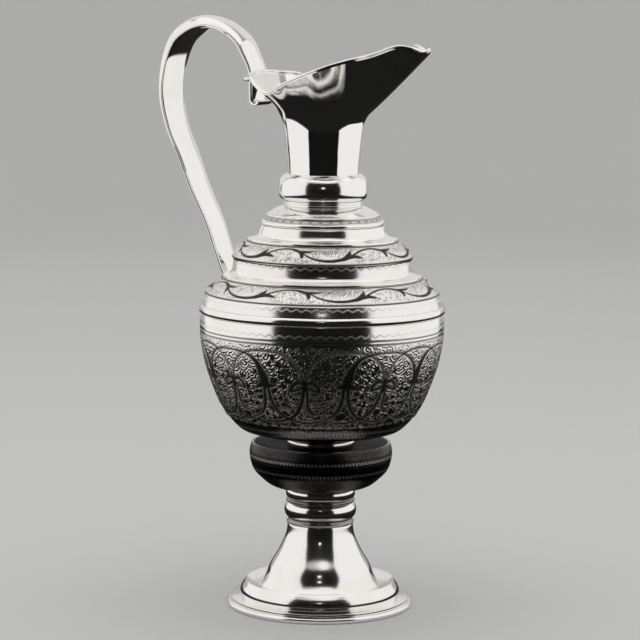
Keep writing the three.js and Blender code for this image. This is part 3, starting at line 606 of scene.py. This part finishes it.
# Painted shade on the bowl's engraved ground, darker towards the bottom: heights, and how dark the ground is
# painted there
BODY_PAINTED_SHADE = ((112, 126, BAND_HIGH, BAND_HIGH + 0.5), (1, 0.4, 0.15, 0))
BODY_LINES = ((BAND_HIGH + 0.2, 0.4), (141.2, 0.35), (BAND_LOW, 0.5))  # height, half width
BODY_LINE_DEPTH = -0.14
BODY_ZIGZAG, BODY_ROPE = 143.8, 93.6
STEM_DEPTH, VEIN_LIFT = -0.2, 0.1
LEAF_LIFT, STEM_EDGE = 0.3, 0.42  # raised leaves and edges of the stems, and width of these edges
PAIRS = 9  # leaf stems, with a lobed stem between each two
FIRST_STEM = FRONT + math.radians(12)
# Small scrolled cuts between the stems
CURL_CELL_X, CURL_CELL_Y, CURL_SCATTER = 4.6, 3.6, 0.3
CURL_FLAT = (6, 22)  # distances up the band between which they stop lying flat
CURL_HALF, CURL_LIFT = 0.26, 0.34
TIP_HALF, TIP_LIFT, TIP_SIZE, TIP_TILT = 0.22, 0.28, 0.55, 1.2


def engrave_body(surface):
    # Painted shade: the ground is painted darker towards the bottom of the bowl
    surface.fields["ground"] += np.interp(surface.height, *BODY_PAINTED_SHADE)[:, None]
    surface.area("fill", BAND_LOW, BAND_HIGH)
    leaf_curls(surface, surface.at_height(BAND_LOW), surface.at_height(BAND_HIGH))
    leaf_stem = [LEAF_ARCH, *LEAF_HOOKS, *LEAF_LEGS]
    turned_stem = [mirrored(LEAF_ARCH), *map(mirrored, LEAF_HOOKS), *LEAF_LEGS]
    lobed_stem = [whole_arch(THIN_ARCH), LOBE, mirrored(LOBE), *LOBE_LEGS]
    leaves = [*SIDE_LEAVES, *map(mirrored, SIDE_LEAVES), *LOW_LEAVES]
    veins = [LOBE_VEIN, mirrored(LOBE_VEIN)]
    step = TURN / PAIRS / 2
    stems = [FIRST_STEM + k * step for k in range(2 * PAIRS)]
    plants = [lobed_stem if k % 2 else leaf_stem if k < PAIRS else turned_stem for k in range(2 * PAIRS)]

    def draw(lines, stem, field, relief, wider=0.0):
        for line in lines:
            fine = spline(line, STROKE_STEPS)
            fine[:, 0] = stem + np.radians(fine[:, 0])
            fine[:, 1] = surface.at_height(fine[:, 1])
            fine[:, 2] += wider
            surface.stroke(field, fine, relief, CUT_SOFT)

    for stem, plant in zip(stems, plants):
        draw(leaves, stem, "cut", LEAF_LIFT)
        draw(plant, stem, "cut", LEAF_LIFT, STEM_EDGE)
    for stem, plant in zip(stems, plants):
        draw(plant, stem, "niello", STEM_DEPTH)
        if plant is lobed_stem:
            draw(veins, stem, "vein", VEIN_LIFT)
    for z, half in BODY_LINES:
        surface.ring("niello", z, half, BODY_LINE_DEPTH)
    surface.zigzag(BODY_ZIGZAG)
    surface.rope(BODY_ROPE)


def whole_arch(half_arch):
    return half_arch + [(ARCH_SPAN - turn, z, half) for turn, z, half in half_arch[-2::-1]]


def mirrored(line):
    return [(-turn, z, half) for turn, z, half in line]


def leaf_curls(surface, s0, s1):
    """Dense small scrolled cuts between the large scrolls of the bowl, lying flatter low down."""
    for row in range(int((s1 - s0) / CURL_CELL_Y)):
        base = s0 + (row + 0.5) * CURL_CELL_Y
        radius = surface.radius_at(base)
        columns = int(TURN * radius / CURL_CELL_X)
        flat = np.interp(row * CURL_CELL_Y, CURL_FLAT, (1, 0))
        lift = 0.3 + 0.7 * flat
        for column in range(columns):
            scatter = rng.uniform(-CURL_SCATTER, CURL_SCATTER)
            turn = (column + 0.5 * (row % 2) + scatter) * TURN / columns
            place = base + rng.uniform(-CURL_SCATTER, CURL_SCATTER) * CURL_CELL_Y
            tilt = rng.uniform(-0.5, 0.5) if rng.uniform() < flat else rng.uniform(0, TURN)
            bend = rng.choice([-1, 1]) * rng.uniform(0.6, 1.2)
            size = rng.uniform(1, 1.7)
            curl(surface, turn, place, tilt, size, bend, "cut", CURL_HALF, CURL_LIFT * lift)
            turn += math.cos(tilt) * size / radius
            place += math.sin(tilt) * size
            tilt += TIP_TILT
            curl(surface, turn, place, tilt, size * TIP_SIZE, -bend, "cut", TIP_HALF, TIP_LIFT * lift)


# Neck and mouth

def rim_line(count):
    """Rim of the mouth: places, directions on the neck and inward directions in plan."""
    back = [(a, -b, up, 360 - turn) for a, b, up, turn in RIM_SHAPE[-2:0:-1]]
    full = np.array([*RIM_SHAPE, *back], float)
    reach = np.where(full[:, 0] > 0, SPOUT_REACH, MOUTH_BACK)
    x, y = full[:, 0] * reach, full[:, 1] * MOUTH_HALF_WIDTH
    places = np.stack([x, y, Z_FLARE + MOUTH_RISE * full[:, 2]], 1)
    legs = count // len(places)
    line = spline(places, legs, closed=True)
    turns = np.radians(np.concatenate([full[:, 3] - 360, full[:, 3], full[:, 3] + 360]))
    turn = spline(np.stack([np.arange(len(turns)), turns], 1), legs)[:, 1]
    first = legs * len(full)
    along = np.roll(line, -1, 0) - np.roll(line, 1, 0)
    along[:, 2] = 0
    along = unit(along)
    inward = np.stack([-along[:, 1], along[:, 0], np.zeros(len(line))], 1)
    return line, turn[first:first + len(line)], inward


def smooth_step(x, low, high):
    """Smooth share of the way from low to high."""
    t = np.clip((x - low) / (high - low), 0, 1)
    return t * t * (3 - 2 * t)


def mouth_rows(rim, sheet):
    """Rows of the neck and mouth, moved inwards by the sheet for the inner side."""
    line, turn, inward = rim
    ring = np.stack([np.cos(turn), np.sin(turn), np.zeros(len(turn))], 1)
    neck = evenly(spline(NECK_SHAPE, 12), MOUTH_ROWS)
    rows = []
    for u, v in neck:
        place = ring * (NECK_RADIUS + (NECK_TOP_RADIUS - NECK_RADIUS) * u - sheet)
        rows.append(place + [0, 0, Z_NECK + (Z_FLARE - Z_NECK) * v])
    start = rows[-1]
    end = line + inward * sheet
    beak = smooth_step(np.cos(turn), BEAK_EDGE, BEAK_MIDDLE)[:, None]
    out, up = FLARE_OUT - BEAK_OUT * beak, FLARE_UP - BEAK_UP * beak
    bend = start + (end - start) * np.concatenate([out, out, up], 1)
    for t in np.linspace(0, 1, MOUTH_ROWS + 1)[1:]:
        rows.append((1 - t) ** 2 * start + 2 * t * (1 - t) * bend + t ** 2 * end)
    rows = np.array(rows)
    ease = np.exp(-((np.arange(len(rows)) - MOUTH_ROWS + 1) / EASE_ROWS) ** 2)[1:-1, None, None]
    for _ in range(EASE_ROUNDS):
        rows[1:-1] += 0.5 * ease * ((rows[:-2] + rows[2:]) / 2 - rows[1:-1])
    return rows


def tube(line, across, radius, sides):
    """Rows of a round wire along a line, with a level direction across it at each place."""
    turn = np.arange(sides)[None, :, None] * TURN / sides
    ring = np.cos(turn) * across[:, None] + np.sin(turn) * np.array(UP)
    return line[:, None] + radius * ring


def add_mouth(look):
    """Neck and mouth of one sheet, and the wire along the rim."""
    rim = rim_line(MOUTH_COLUMNS)
    lip = [0, 0, SOLDER_GAP + LIP]
    outer, inner = mouth_rows(rim, 0), mouth_rows(rim, NECK_SHEET)
    rows = np.concatenate([outer, outer[-1:] + lip, inner[-1:] + lip, inner[::-1]])
    add_piece(rows, True, look, "neck_spout")
    line, _, inward = rim
    centre = line + inward * NECK_SHEET / 2 + [0, 0, RIM_WIRE_RADIUS + SOLDER_GAP]
    add_piece(tube(centre, -inward, RIM_WIRE_RADIUS, WIRE_SIDES), True, look, "mouth_rim_wire")


# Handle

def shoulder_radius():
    """Outer radius of the shoulder at each height, from the CAD tiers."""
    stack = []
    for node in ("shoulder_lower_tier", "shoulder_middle_tier", "shoulder_upper_tier"):
        outline, outer, _ = fine_outline(node, ROW, INNER_ROW)
        stack.append(outline[:outer])
    stack = np.concatenate(stack)
    order = np.argsort(stack[:, 1], kind="stable")
    return stack[order]


def handle_path():
    """Inner face of the handle in its plane, (x, z), from the shoulder to the mouth."""
    foot_a, foot_z = HANDLE_FOOT
    back_z = Z_FLARE + MOUTH_RISE * RIM_SHAPE[-1][2]
    rim_a = MOUTH_BACK + RIM_WIRE_RADIUS + SOLDER_GAP + HANDLE_END_CROWN
    rise = back_z + HANDLE_RISE - foot_z
    leg = [(-(foot_a + (HANDLE_REACH - foot_a) * u), foot_z + rise * v) for u, v in LEG_SHAPE]
    loop = [(-(rim_a + (HANDLE_REACH - rim_a) * u), back_z + HANDLE_RISE * v) for u, v in LOOP_SHAPE]
    return evenly(spline(leg + loop, 24), HANDLE_STATIONS + 1), rim_a, back_z


def handle_lines(path, out, half, shape, base, thickness):
    """Points of a section carried along the handle: stations by section points."""
    y, n = np.array(shape).T
    reach = base[:, None] + thickness[:, None] * n[None, :]
    x = path[:, :1] + out[:, :1] * reach
    z = path[:, 1:] + out[:, 1:] * reach
    return np.stack([x, half[:, None] * y[None, :], z], -1)


def seat_on_shoulder(lines, profile):
    """Slides the lower end of each line up to where it dips just into the shoulder."""
    share = np.linspace(0, 1, len(lines))
    seated = lines.copy()
    for j in range(lines.shape[1]):
        line = lines[:, j]
        limit = np.interp(line[:, 2], profile[:, 1], profile[:, 0]) - SEAT_DEPTH
        inside = np.nonzero((np.hypot(line[:, 0], line[:, 1]) < limit) & (share < SEAT_SHARE))[0]
        start = share[inside[-1]] if len(inside) else 0
        places = start + (1 - start) * share
        seated[:, j] = np.stack([np.interp(places, share, column) for column in line.T], 1)
    return seated


def add_handle(look):
    """Flat inner strip with its curled end, domed outer shell, and the clasp at the mouth."""
    path, rim_a, back_z = handle_path()
    along = unit(np.gradient(path, axis=0))
    out = np.stack([-along[:, 1], along[:, 0]], 1)
    taper = spline(HANDLE_TAPER, 10)
    share = np.linspace(0, 1, len(path))
    half = HANDLE_HALF_WIDTH * np.interp(share, taper[:, 0], taper[:, 1])
    crowned = np.interp(share, taper[:, 0], taper[:, 2])
    crown = HANDLE_END_CROWN + (HANDLE_CROWN - HANDLE_END_CROWN) * crowned
    profile = shoulder_radius()

    flat = STRIP_EDGE + [(-y, n) for y, n in STRIP_EDGE[-2:0:-1]]
    full = np.full(len(path), STRIP_THICKNESS)
    strip = seat_on_shoulder(handle_lines(path, out, half, flat, 0 * full, full), profile)
    strip = np.concatenate([strip, curl_rows(path, out, along, half[-1], flat)])
    add_piece(strip, False, look, "handle_inner_strip", capped=True)

    turn = np.radians(np.linspace(0, 180, DOME_POINTS))
    dome = [(math.cos(t), SHELL_SIDE + (1 - SHELL_SIDE) * math.sin(t)) for t in turn]
    shape = [(-SHELL_WIDTH, 0), (SHELL_WIDTH, 0), *dome]
    shell = handle_lines(path, out, half, shape, full, crown - STRIP_THICKNESS - SHELL_CLEAR)
    add_piece(seat_on_shoulder(shell, profile), False, look, "handle_shell", capped=True)
    add_clasp(rim_a, back_z - CLASP_DROP, look)


def curl_rows(path, out, along, half, flat):
    """The strip's upper end, curled in under the mouth."""
    rows = []
    y, n = np.array(flat).T
    centre = path[-1] + out[-1] * CURL_RADIUS
    for turn in CURL_TURNS:
        inward = out[-1] * math.cos(turn) - along[-1] * math.sin(turn)
        spot = (centre - inward * CURL_RADIUS)[None, :] + inward[None, :] * STRIP_THICKNESS * n[:, None]
        rows.append(np.stack([spot[:, 0], half * y, spot[:, 1]], 1))
    return np.array(rows)


def add_clasp(rim_a, z, look):
    """Wire that passes round the handle from one side of the mouth to the other."""
    side = HANDLE_HALF_WIDTH * HANDLE_TAPER[-1][1] + SOLDER_GAP * 2 + CLASP_RADIUS
    front = rim_a + SOLDER_GAP * 2 + CLASP_RADIUS
    back = MOUTH_BACK + RIM_WIRE_RADIUS + SOLDER_GAP
    bend = CLASP_RADIUS * CLASP_BEND
    corner = [(front - bend / 2, side - bend), (front, side - 3 * bend)]
    arm = [(back, side), ((back + front) / 2, side), *corner]
    line = spline([*arm, *[(a, -y) for a, y in arm[::-1]]], 6)
    along = unit(np.gradient(line, axis=0))
    count = len(line)
    centre = np.stack([-line[:, 0], line[:, 1], np.full(count, z)], 1)
    across = np.stack([along[:, 1], along[:, 0], np.zeros(count)], 1)
    wire = tube(centre, across, CLASP_RADIUS, CLASP_SIDES)
    add_piece(wire, False, look, "handle_clasp", capped=True)


# Materials

class Nodes:
    """Short way to write a node material."""

    def __init__(self, name):
        self.material = bpy.data.materials.new(name)
        self.material.use_nodes = True
        self.tree = self.material.node_tree
        self.shader = self.tree.nodes["Principled BSDF"]
        self.place = self.add("ShaderNodeTexCoord").outputs["Object"]

    def add(self, kind, inputs=None, **settings):
        node = self.tree.nodes.new(kind)
        for key, value in settings.items():
            setattr(node, key, value)
        for key, value in (inputs or {}).items():
            if isinstance(value, bpy.types.NodeSocket):
                self.tree.links.new(value, node.inputs[key])
            else:
                node.inputs[key].default_value = value
        return node

    def noise(self, scale, detail=3.0, rough=0.5, stretch=None):
        vector = self.place
        if stretch:
            vector = self.add("ShaderNodeMapping", {"Vector": vector, "Scale": stretch}).outputs["Vector"]
        inputs = {"Vector": vector, "Scale": scale, "Detail": detail, "Roughness": rough}
        return self.add("ShaderNodeTexNoise", inputs).outputs["Fac"]

    def remap(self, value, low, high, to_low, to_high):
        inputs = {"Value": value, "From Min": low, "From Max": high, "To Min": to_low, "To Max": to_high}
        return self.add("ShaderNodeMapRange", inputs).outputs["Result"]

    def math(self, operation, a, b):
        return self.add("ShaderNodeMath", {0: a, 1: b}, operation=operation).outputs[0]

    def times(self, a, b):
        return self.math("MULTIPLY", a, b)

    def plus(self, a, b):
        return self.math("ADD", a, b)

    def minus(self, a, b):
        return self.math("SUBTRACT", a, b)

    def mix(self, factor, a, b):
        """Mixes two colours; the numbers are the places of the colour sockets."""
        return self.add("ShaderNodeMix", {0: factor, 6: a, 7: b}, data_type="RGBA").outputs[2]

    def field(self, name):
        return self.add("ShaderNodeAttribute", attribute_name=name).outputs["Fac"]

    def bump(self, height, strength, distance, normal=None):
        inputs = {"Height": height, "Strength": strength, "Distance": distance}
        if normal is not None:
            inputs["Normal"] = normal
        return self.add("ShaderNodeBump", inputs).outputs["Normal"]

    def link(self, value, socket):
        self.tree.links.new(value, self.shader.inputs[socket])


SILVER = (0.93, 0.91, 0.88, 1)
WARM_SILVER = (0.84, 0.79, 0.73, 1)
PAINTED_SHADE_GREY_SILVER = (0.3, 0.28, 0.26, 1)  # painted shade on the stem's collar and middle ring
# Dark tarnish colour, also used as painted shade on the bowl, the cup, its cover and two stem pieces
TARNISH_AND_SHADE = (0.06, 0.053, 0.046, 1)
# Niello black, also painted as shade over the cup and its cover
NIELLO_AND_SHADE_BLACK = (0.012, 0.012, 0.014, 1)
PAPER, PALE_PAPER = (0.89, 0.89, 0.885, 1), (0.92, 0.92, 0.915, 1)
CARD, PALE_CARD = (0.004, 0.004, 0.004, 1), (0.008, 0.008, 0.008, 1)
PAPER_ROUGHNESS = 0.9
SCROLL_RADIUS = 55  # of the laid-flat surface, in millimetres
SCROLL_SIZE, SCROLL_WINDINGS = 4.4, 2.9
CLOUD_SCALE, WAVE_SCALE, PATCH_SCALE = 38, 70, 130
STIPPLE_SCALE, GRAIN_SCALE = 950.0, 1500
RUB_STRETCH = (900, 900, 5000)
MIRROR, SOFT, BAND_SOFT, DULL = 0.04, 0.12, 0.15, 0.45  # roughness of the silver
GLOSS_RANGE, RUB_RANGE = 0.03, 0.03  # added by clouds and by rubbing marks
# Strength and distance of the bumps, in metres
RUB_BUMP, WAVE_BUMP, GRIT_BUMP, SCROLL_BUMP = (0.05, 0.0001), (0.1, 0.0012), (0.3, 0.0002), 0.0002


def worn_gloss(n, clouds, polish):
    """Roughness that wanders with the clouds of tarnish, and the fine rubbing marks in it."""
    rub = n.noise(1, 2, stretch=RUB_STRETCH)
    wander = n.remap(clouds, 0.3, 0.7, polish, polish + GLOSS_RANGE)
    return n.plus(wander, n.remap(rub, 0.5, 0.8, 0, RUB_RANGE)), rub


def finish_silver(n, rough, rub, normal):
    """Gives the metal its roughness and its rubbing marks."""
    n.link(rough, "Roughness")
    n.link(n.bump(rub, *RUB_BUMP, normal), "Normal")
    n.shader.inputs["Metallic"].default_value = 1
    return n.material


def polished_silver(name, polish, fresh=SILVER, aged=WARM_SILVER):
    """Hand-polished silver: faint tarnish, wandering gloss, fine rubbing marks and slight hammer waves."""
    n = Nodes(name)
    clouds = n.noise(CLOUD_SCALE, 4)
    n.link(n.mix(n.remap(clouds, 0.52, 0.78, 0, 0.7), fresh, aged), "Base Color")
    gloss, rub = worn_gloss(n, clouds, polish)
    return finish_silver(n, gloss, rub, n.bump(n.noise(WAVE_SCALE, 1), *WAVE_BUMP))


def scrolls(n):
    """Height of small spiral cuts, side by side on the jug's surface laid flat, from -1 to 1."""
    spot = n.add("ShaderNodeSeparateXYZ", {"Vector": n.place}).outputs
    turn = n.math("ARCTAN2", spot["Y"], n.minus(spot["X"], AXIS_X * MM))
    sides = {"X": n.times(turn, SCROLL_RADIUS), "Y": n.times(spot["Z"], 1 / MM)}
    flat = n.add("ShaderNodeCombineXYZ", sides).outputs["Vector"]
    inputs = {"Vector": flat, "Scale": 1 / SCROLL_SIZE}
    cell = n.add("ShaderNodeTexVoronoi", inputs, voronoi_dimensions="2D").outputs
    away = n.add("ShaderNodeVectorMath", {0: flat, 1: cell["Position"]}, operation="SUBTRACT")
    spot = n.add("ShaderNodeSeparateXYZ", {"Vector": away.outputs["Vector"]}).outputs
    chance = n.add("ShaderNodeSeparateColor", {"Color": cell["Color"]}).outputs
    hand = n.remap(n.math("GREATER_THAN", chance["Red"], 0.5), 0, 1, -1, 1)
    wave = n.times(n.math("ARCTAN2", spot["Y"], spot["X"]), hand)
    wave = n.plus(wave, n.times(cell["Distance"], TURN * SCROLL_WINDINGS))
    wave = n.plus(wave, n.times(chance["Green"], TURN))
    return n.math("SINE", wave, 0)


def engraved_silver(name, polish, tarnish=1, gloss=0.05, bright_fill=0, dark_fill=0, relief=0):
    """Silver with niello lines, bright cuts and a finely stippled ground full of small scrolls; the ground's
    darkness is part tarnish, part painted shade, and niello colour over whole areas is painted shade.
    """
    n = Nodes(name)
    clouds = n.noise(CLOUD_SCALE, 4)
    niello, ground, cut, fill = n.field("niello"), n.field("ground"), n.field("cut"), n.field("fill")
    scroll = scrolls(n)
    free = n.times(fill, n.minus(1.0, n.math("MAXIMUM", niello, cut)))
    patches = n.remap(n.noise(PATCH_SCALE, 2), 0.4, 0.6, 0.2, 1)
    line = n.times(n.remap(scroll, 0.3, 0.9, 0, 1), n.times(free, patches))
    bright, dark = n.times(line, bright_fill), n.times(line, dark_fill)
    niello = n.plus(niello, dark)
    silver = n.mix(n.remap(clouds, 0.5, 0.8, 0, 0.7), SILVER, WARM_SILVER)
    inputs = {"Vector": n.place, "Scale": STIPPLE_SCALE}
    cells = n.add("ShaderNodeTexVoronoi", inputs, feature="DISTANCE_TO_EDGE")
    stipple = n.remap(cells.outputs["Distance"], 0.02, 0.2, 1, 0)
    grain = n.noise(GRAIN_SCALE, 2, 0.6)
    # Darkness of the ground: tarnish, and painted shade where the ground field or the tarnish factor is
    # raised
    tarnish_and_painted_shade = n.plus(n.times(stipple, 0.25), n.remap(grain, 0.35, 0.7, 0.55, 0.9))
    tarnish_and_painted_shade = n.times(tarnish_and_painted_shade, n.times(ground, tarnish))
    tarnish_and_painted_shade = n.times(tarnish_and_painted_shade, n.minus(1.0, n.plus(cut, bright)))
    aged = n.mix(tarnish_and_painted_shade, silver, TARNISH_AND_SHADE)
    # Niello colour, which over whole areas is painted shade
    n.link(n.mix(n.times(niello, 0.96), aged, NIELLO_AND_SHADE_BLACK), "Base Color")
    rough, rub = worn_gloss(n, clouds, polish)
    rough = n.times(rough, n.remap(fill, 0, 1, 1, 0.4))
    for part, share in ((ground, gloss), (niello, 0.2), (cut, 0.35), (bright, 0.15)):
        rough = n.plus(rough, n.times(part, share))
    grit = n.times(n.plus(n.times(stipple, -0.6), grain), ground)
    lift = n.times(n.times(scroll, free), n.remap(ground, 0, 1, 0.25, 1))
    normal = n.bump(lift, relief, SCROLL_BUMP, n.bump(grit, *GRIT_BUMP))
    return finish_silver(n, rough, rub, normal)


def studio_paper():
    """Pale matt studio paper with a faint mottle."""
    n = Nodes("studio_paper")
    n.link(n.mix(n.noise(3, 4), PAPER, PALE_PAPER), "Base Color")
    n.shader.inputs["Roughness"].default_value = PAPER_ROUGHNESS
    n.shader.inputs["Specular IOR Level"].default_value = 0.1
    return n.material


# Stage, light and camera

def add_stage():
    """Pale paper floor that curves up into a wall all round."""
    turns = np.linspace(0, math.pi / 2, STAGE_BEND_ROWS)
    bend = [(STAGE_FLAT + STAGE_BEND * math.sin(t), STAGE_BEND - STAGE_BEND * math.cos(t)) for t in turns]
    floor = [(reach, 0) for reach in STAGE_RINGS]
    outline = np.array([*floor, *bend, (STAGE_FLAT + STAGE_BEND, STAGE_TOP)])
    angle = np.arange(STAGE_COLUMNS) * TURN / STAGE_COLUMNS
    radius, height = outline[:, :1], np.repeat(outline[:, 1:], STAGE_COLUMNS, 1)
    points = np.stack([radius * np.cos(angle), radius * np.sin(angle), height], -1).reshape(-1, 3)
    mesh = bpy.data.meshes.new("studio_sweep")
    mesh.from_pydata(points.tolist(), [], grid_faces(len(outline), STAGE_COLUMNS, False))
    mesh.flip_normals()
    mesh.shade_smooth()
    mesh.materials.append(studio_paper())
    show("studio_sweep", mesh)


def add_panel(name, panel, centre, facing, jug_only=True):
    """Soft rectangular light, seen by the metal and not by the camera."""
    width, height, radiance = panel
    light = bpy.data.lights.new(name, "AREA")
    light.shape = "RECTANGLE"
    light.size, light.size_y = width, height
    light.energy = radiance * math.pi * width * height
    lamp = show(name, light)
    lamp.location = AXIS + centre
    lamp.rotation_euler = facing.to_track_quat("-Z", "Y").to_euler()
    lamp.visible_camera = False
    if jug_only:
        lamp.light_linking.receiver_collection = jug_pieces


def add_lights():
    """Panels beside, behind and above the jug; only the one above lights the floor too."""
    for side, name in ((-1, "left_panel"), (1, "right_panel")):
        centre = TO_RIGHT * (SIDE_AWAY * side) - TO_CAMERA * SIDE_OFFSET + UP * SIDE_Z
        add_panel(name, SIDE_PANEL, centre, TO_RIGHT * -side)
    add_panel("top_panel", TOP_PANEL, UP * TOP_Z, Vector((0, 0, -1)), False)
    add_panel("front_lamp", FRONT_LAMP, TO_CAMERA * LAMP_AWAY + UP * LAMP_Z, -TO_CAMERA)
    add_panel("back_panel", BACK_PANEL, TO_CAMERA * -BACK_AWAY + UP * BACK_Z, TO_CAMERA)
    world = bpy.data.worlds.new("studio_world")
    world.use_nodes = True
    shade = world.node_tree.nodes["Background"]
    shade.inputs["Color"].default_value = (WORLD_GREY, WORLD_GREY, WORLD_GREY, 1)
    bpy.context.scene.world = world
    add_card()


def add_card():
    """Dark card on the floor, before the jug and behind the side panels, which only reflections show."""
    lying = [(CARD_INNER, CARD_LIFT), (CARD_OUTER, CARD_LIFT)]
    standing = [(CARD_AWAY, CARD_LIFT), (CARD_AWAY, CARD_TOP)]
    count = CARD_COLUMNS + 1
    points, faces = [], []
    for edges, spread in ((lying, 180), (standing, CARD_SPREAD)):
        turns = np.radians(np.linspace(-spread, spread, count))
        first = len(points)
        for reach, z in edges:
            for turn in turns:
                spot = (TO_CAMERA * math.cos(turn) + TO_RIGHT * math.sin(turn)) * reach
                points.append(AXIS + spot + UP * z)
        starts = range(first, first + CARD_COLUMNS)
        faces += [(j, j + 1, j + count + 1, j + count) for j in starts]
    width, height, _ = SIDE_PANEL
    for side in (-1, 1):
        first = len(points)
        for u, v in ((-0.5, -0.5), (0.5, -0.5), (0.5, 0.5), (-0.5, 0.5)):
            spot = TO_RIGHT * (SIDE_AWAY + CARD_BEHIND) * side + TO_CAMERA * (u * width - SIDE_OFFSET)
            points.append(AXIS + spot + UP * (SIDE_Z + v * height))
        faces.append(tuple(range(first, first + 4)))
    mesh = bpy.data.meshes.new("dark_card")
    mesh.from_pydata(points, [], faces)
    n = Nodes("dark_card_paper")
    n.link(n.mix(n.noise(9), CARD, PALE_CARD), "Base Color")
    n.shader.inputs["Roughness"].default_value = PAPER_ROUGHNESS
    mesh.materials.append(n.material)
    card = show("dark_card", mesh)
    card.visible_camera = False
    card.visible_diffuse = False
    card.visible_shadow = False


def add_camera():
    """The photograph's camera."""
    data = bpy.data.cameras.new("photo_camera")
    data.sensor_width = SENSOR_WIDTH
    data.lens = SENSOR_WIDTH * FOCAL_PIXELS / PHOTO_PIXELS
    camera = show("photo_camera", data)
    place = AXIS + UP * CAMERA_HEIGHT * MM + TO_CAMERA * CAMERA_DISTANCE * MM
    turn = Matrix.Rotation(CAMERA_TURN + AXIS_OFFSET_PIXELS / FOCAL_PIXELS, 4, "Z")
    pitch = Matrix.Rotation(math.pi / 2 - CAMERA_PITCH, 4, "X")
    roll = Matrix.Rotation(CAMERA_ROLL, 4, "Z")
    camera.matrix_world = Matrix.Translation(place) @ turn @ pitch @ roll
    bpy.context.scene.camera = camera


PLAIN_NODES = (
    "foot_rim", "foot_base", "stem_lower_ring", "stem_upper_ring", "bowl_bead", "girdle_ring",
    "shoulder_upper_tier", "shoulder_lower_wire", "shoulder_upper_wire", "shoulder_dome", "neck_base_ring",
    "neck_collar",
)
# Pieces painted with darker grey silver as shade
PAINTED_SHADE_NODES = ("stem_collar", "stem_middle_ring")


def add_jug():
    """All the jug's pieces, each with its look."""
    mirror = (polished_silver("mirror_silver_look", MIRROR), "polished_silver")
    polished = (polished_silver("polished_silver_look", SOFT), "polished_silver")
    # Painted shade: grey silver clouded with the dark tarnish colour, for the stem's collar and middle ring
    painted_shade_grey = (polished_silver("painted_shade_grey_silver_look", SOFT, PAINTED_SHADE_GREY_SILVER, TARNISH_AND_SHADE), "polished_silver")
    # Painted shade: the cup's cover under the bowl is painted near black
    painted_shade_black = (polished_silver("painted_shade_black_silver_look", DULL, NIELLO_AND_SHADE_BLACK, TARNISH_AND_SHADE), "engraved_silver")
    band = engraved_silver("engraved_band_look", BAND_SOFT, tarnish=0.1, gloss=0.1, dark_fill=0.4, relief=0.2)
    bowl = engraved_silver("engraved_bowl_look", SOFT, bright_fill=0.9, relief=0.9)
    # Painted shade: a tarnish factor above 1 paints the cup's ground darker still
    cup = engraved_silver("engraved_cup_look", MIRROR, tarnish=1.25)
    for node in PLAIN_NODES:
        add_turned(node, polished)
    add_turned("foot_trumpet", polished, rounds=3)
    for node in PAINTED_SHADE_NODES:
        add_turned(node, painted_shade_grey)
    # The cover gets the near-black painted shade
    add_turned("cup_cover", painted_shade_black)
    # Node, look, segments round it, spacing of its rows, engraving
    for node, look, segments, row, engrave in (
        ("bowl_cup", cup, 480, 0.45, engrave_cup),
        ("bowl_body", bowl, 600, 0.6, engrave_body),
        ("shoulder_lower_tier", band, 1120, 0.35, engrave_lower_tier),
        ("shoulder_middle_tier", band, 960, 0.35, engrave_middle_tier),
        ("shoulder_dash_band", band, 720, 0.3, engrave_dash_band),
    ):
        add_turned(node, (look, "engraved_silver"), segments, row, engrave)
    add_mouth(mirror)
    add_handle(mirror)


bpy.context.scene.view_settings.view_transform = "Standard"
add_camera()
add_stage()
add_lights()
add_jug()
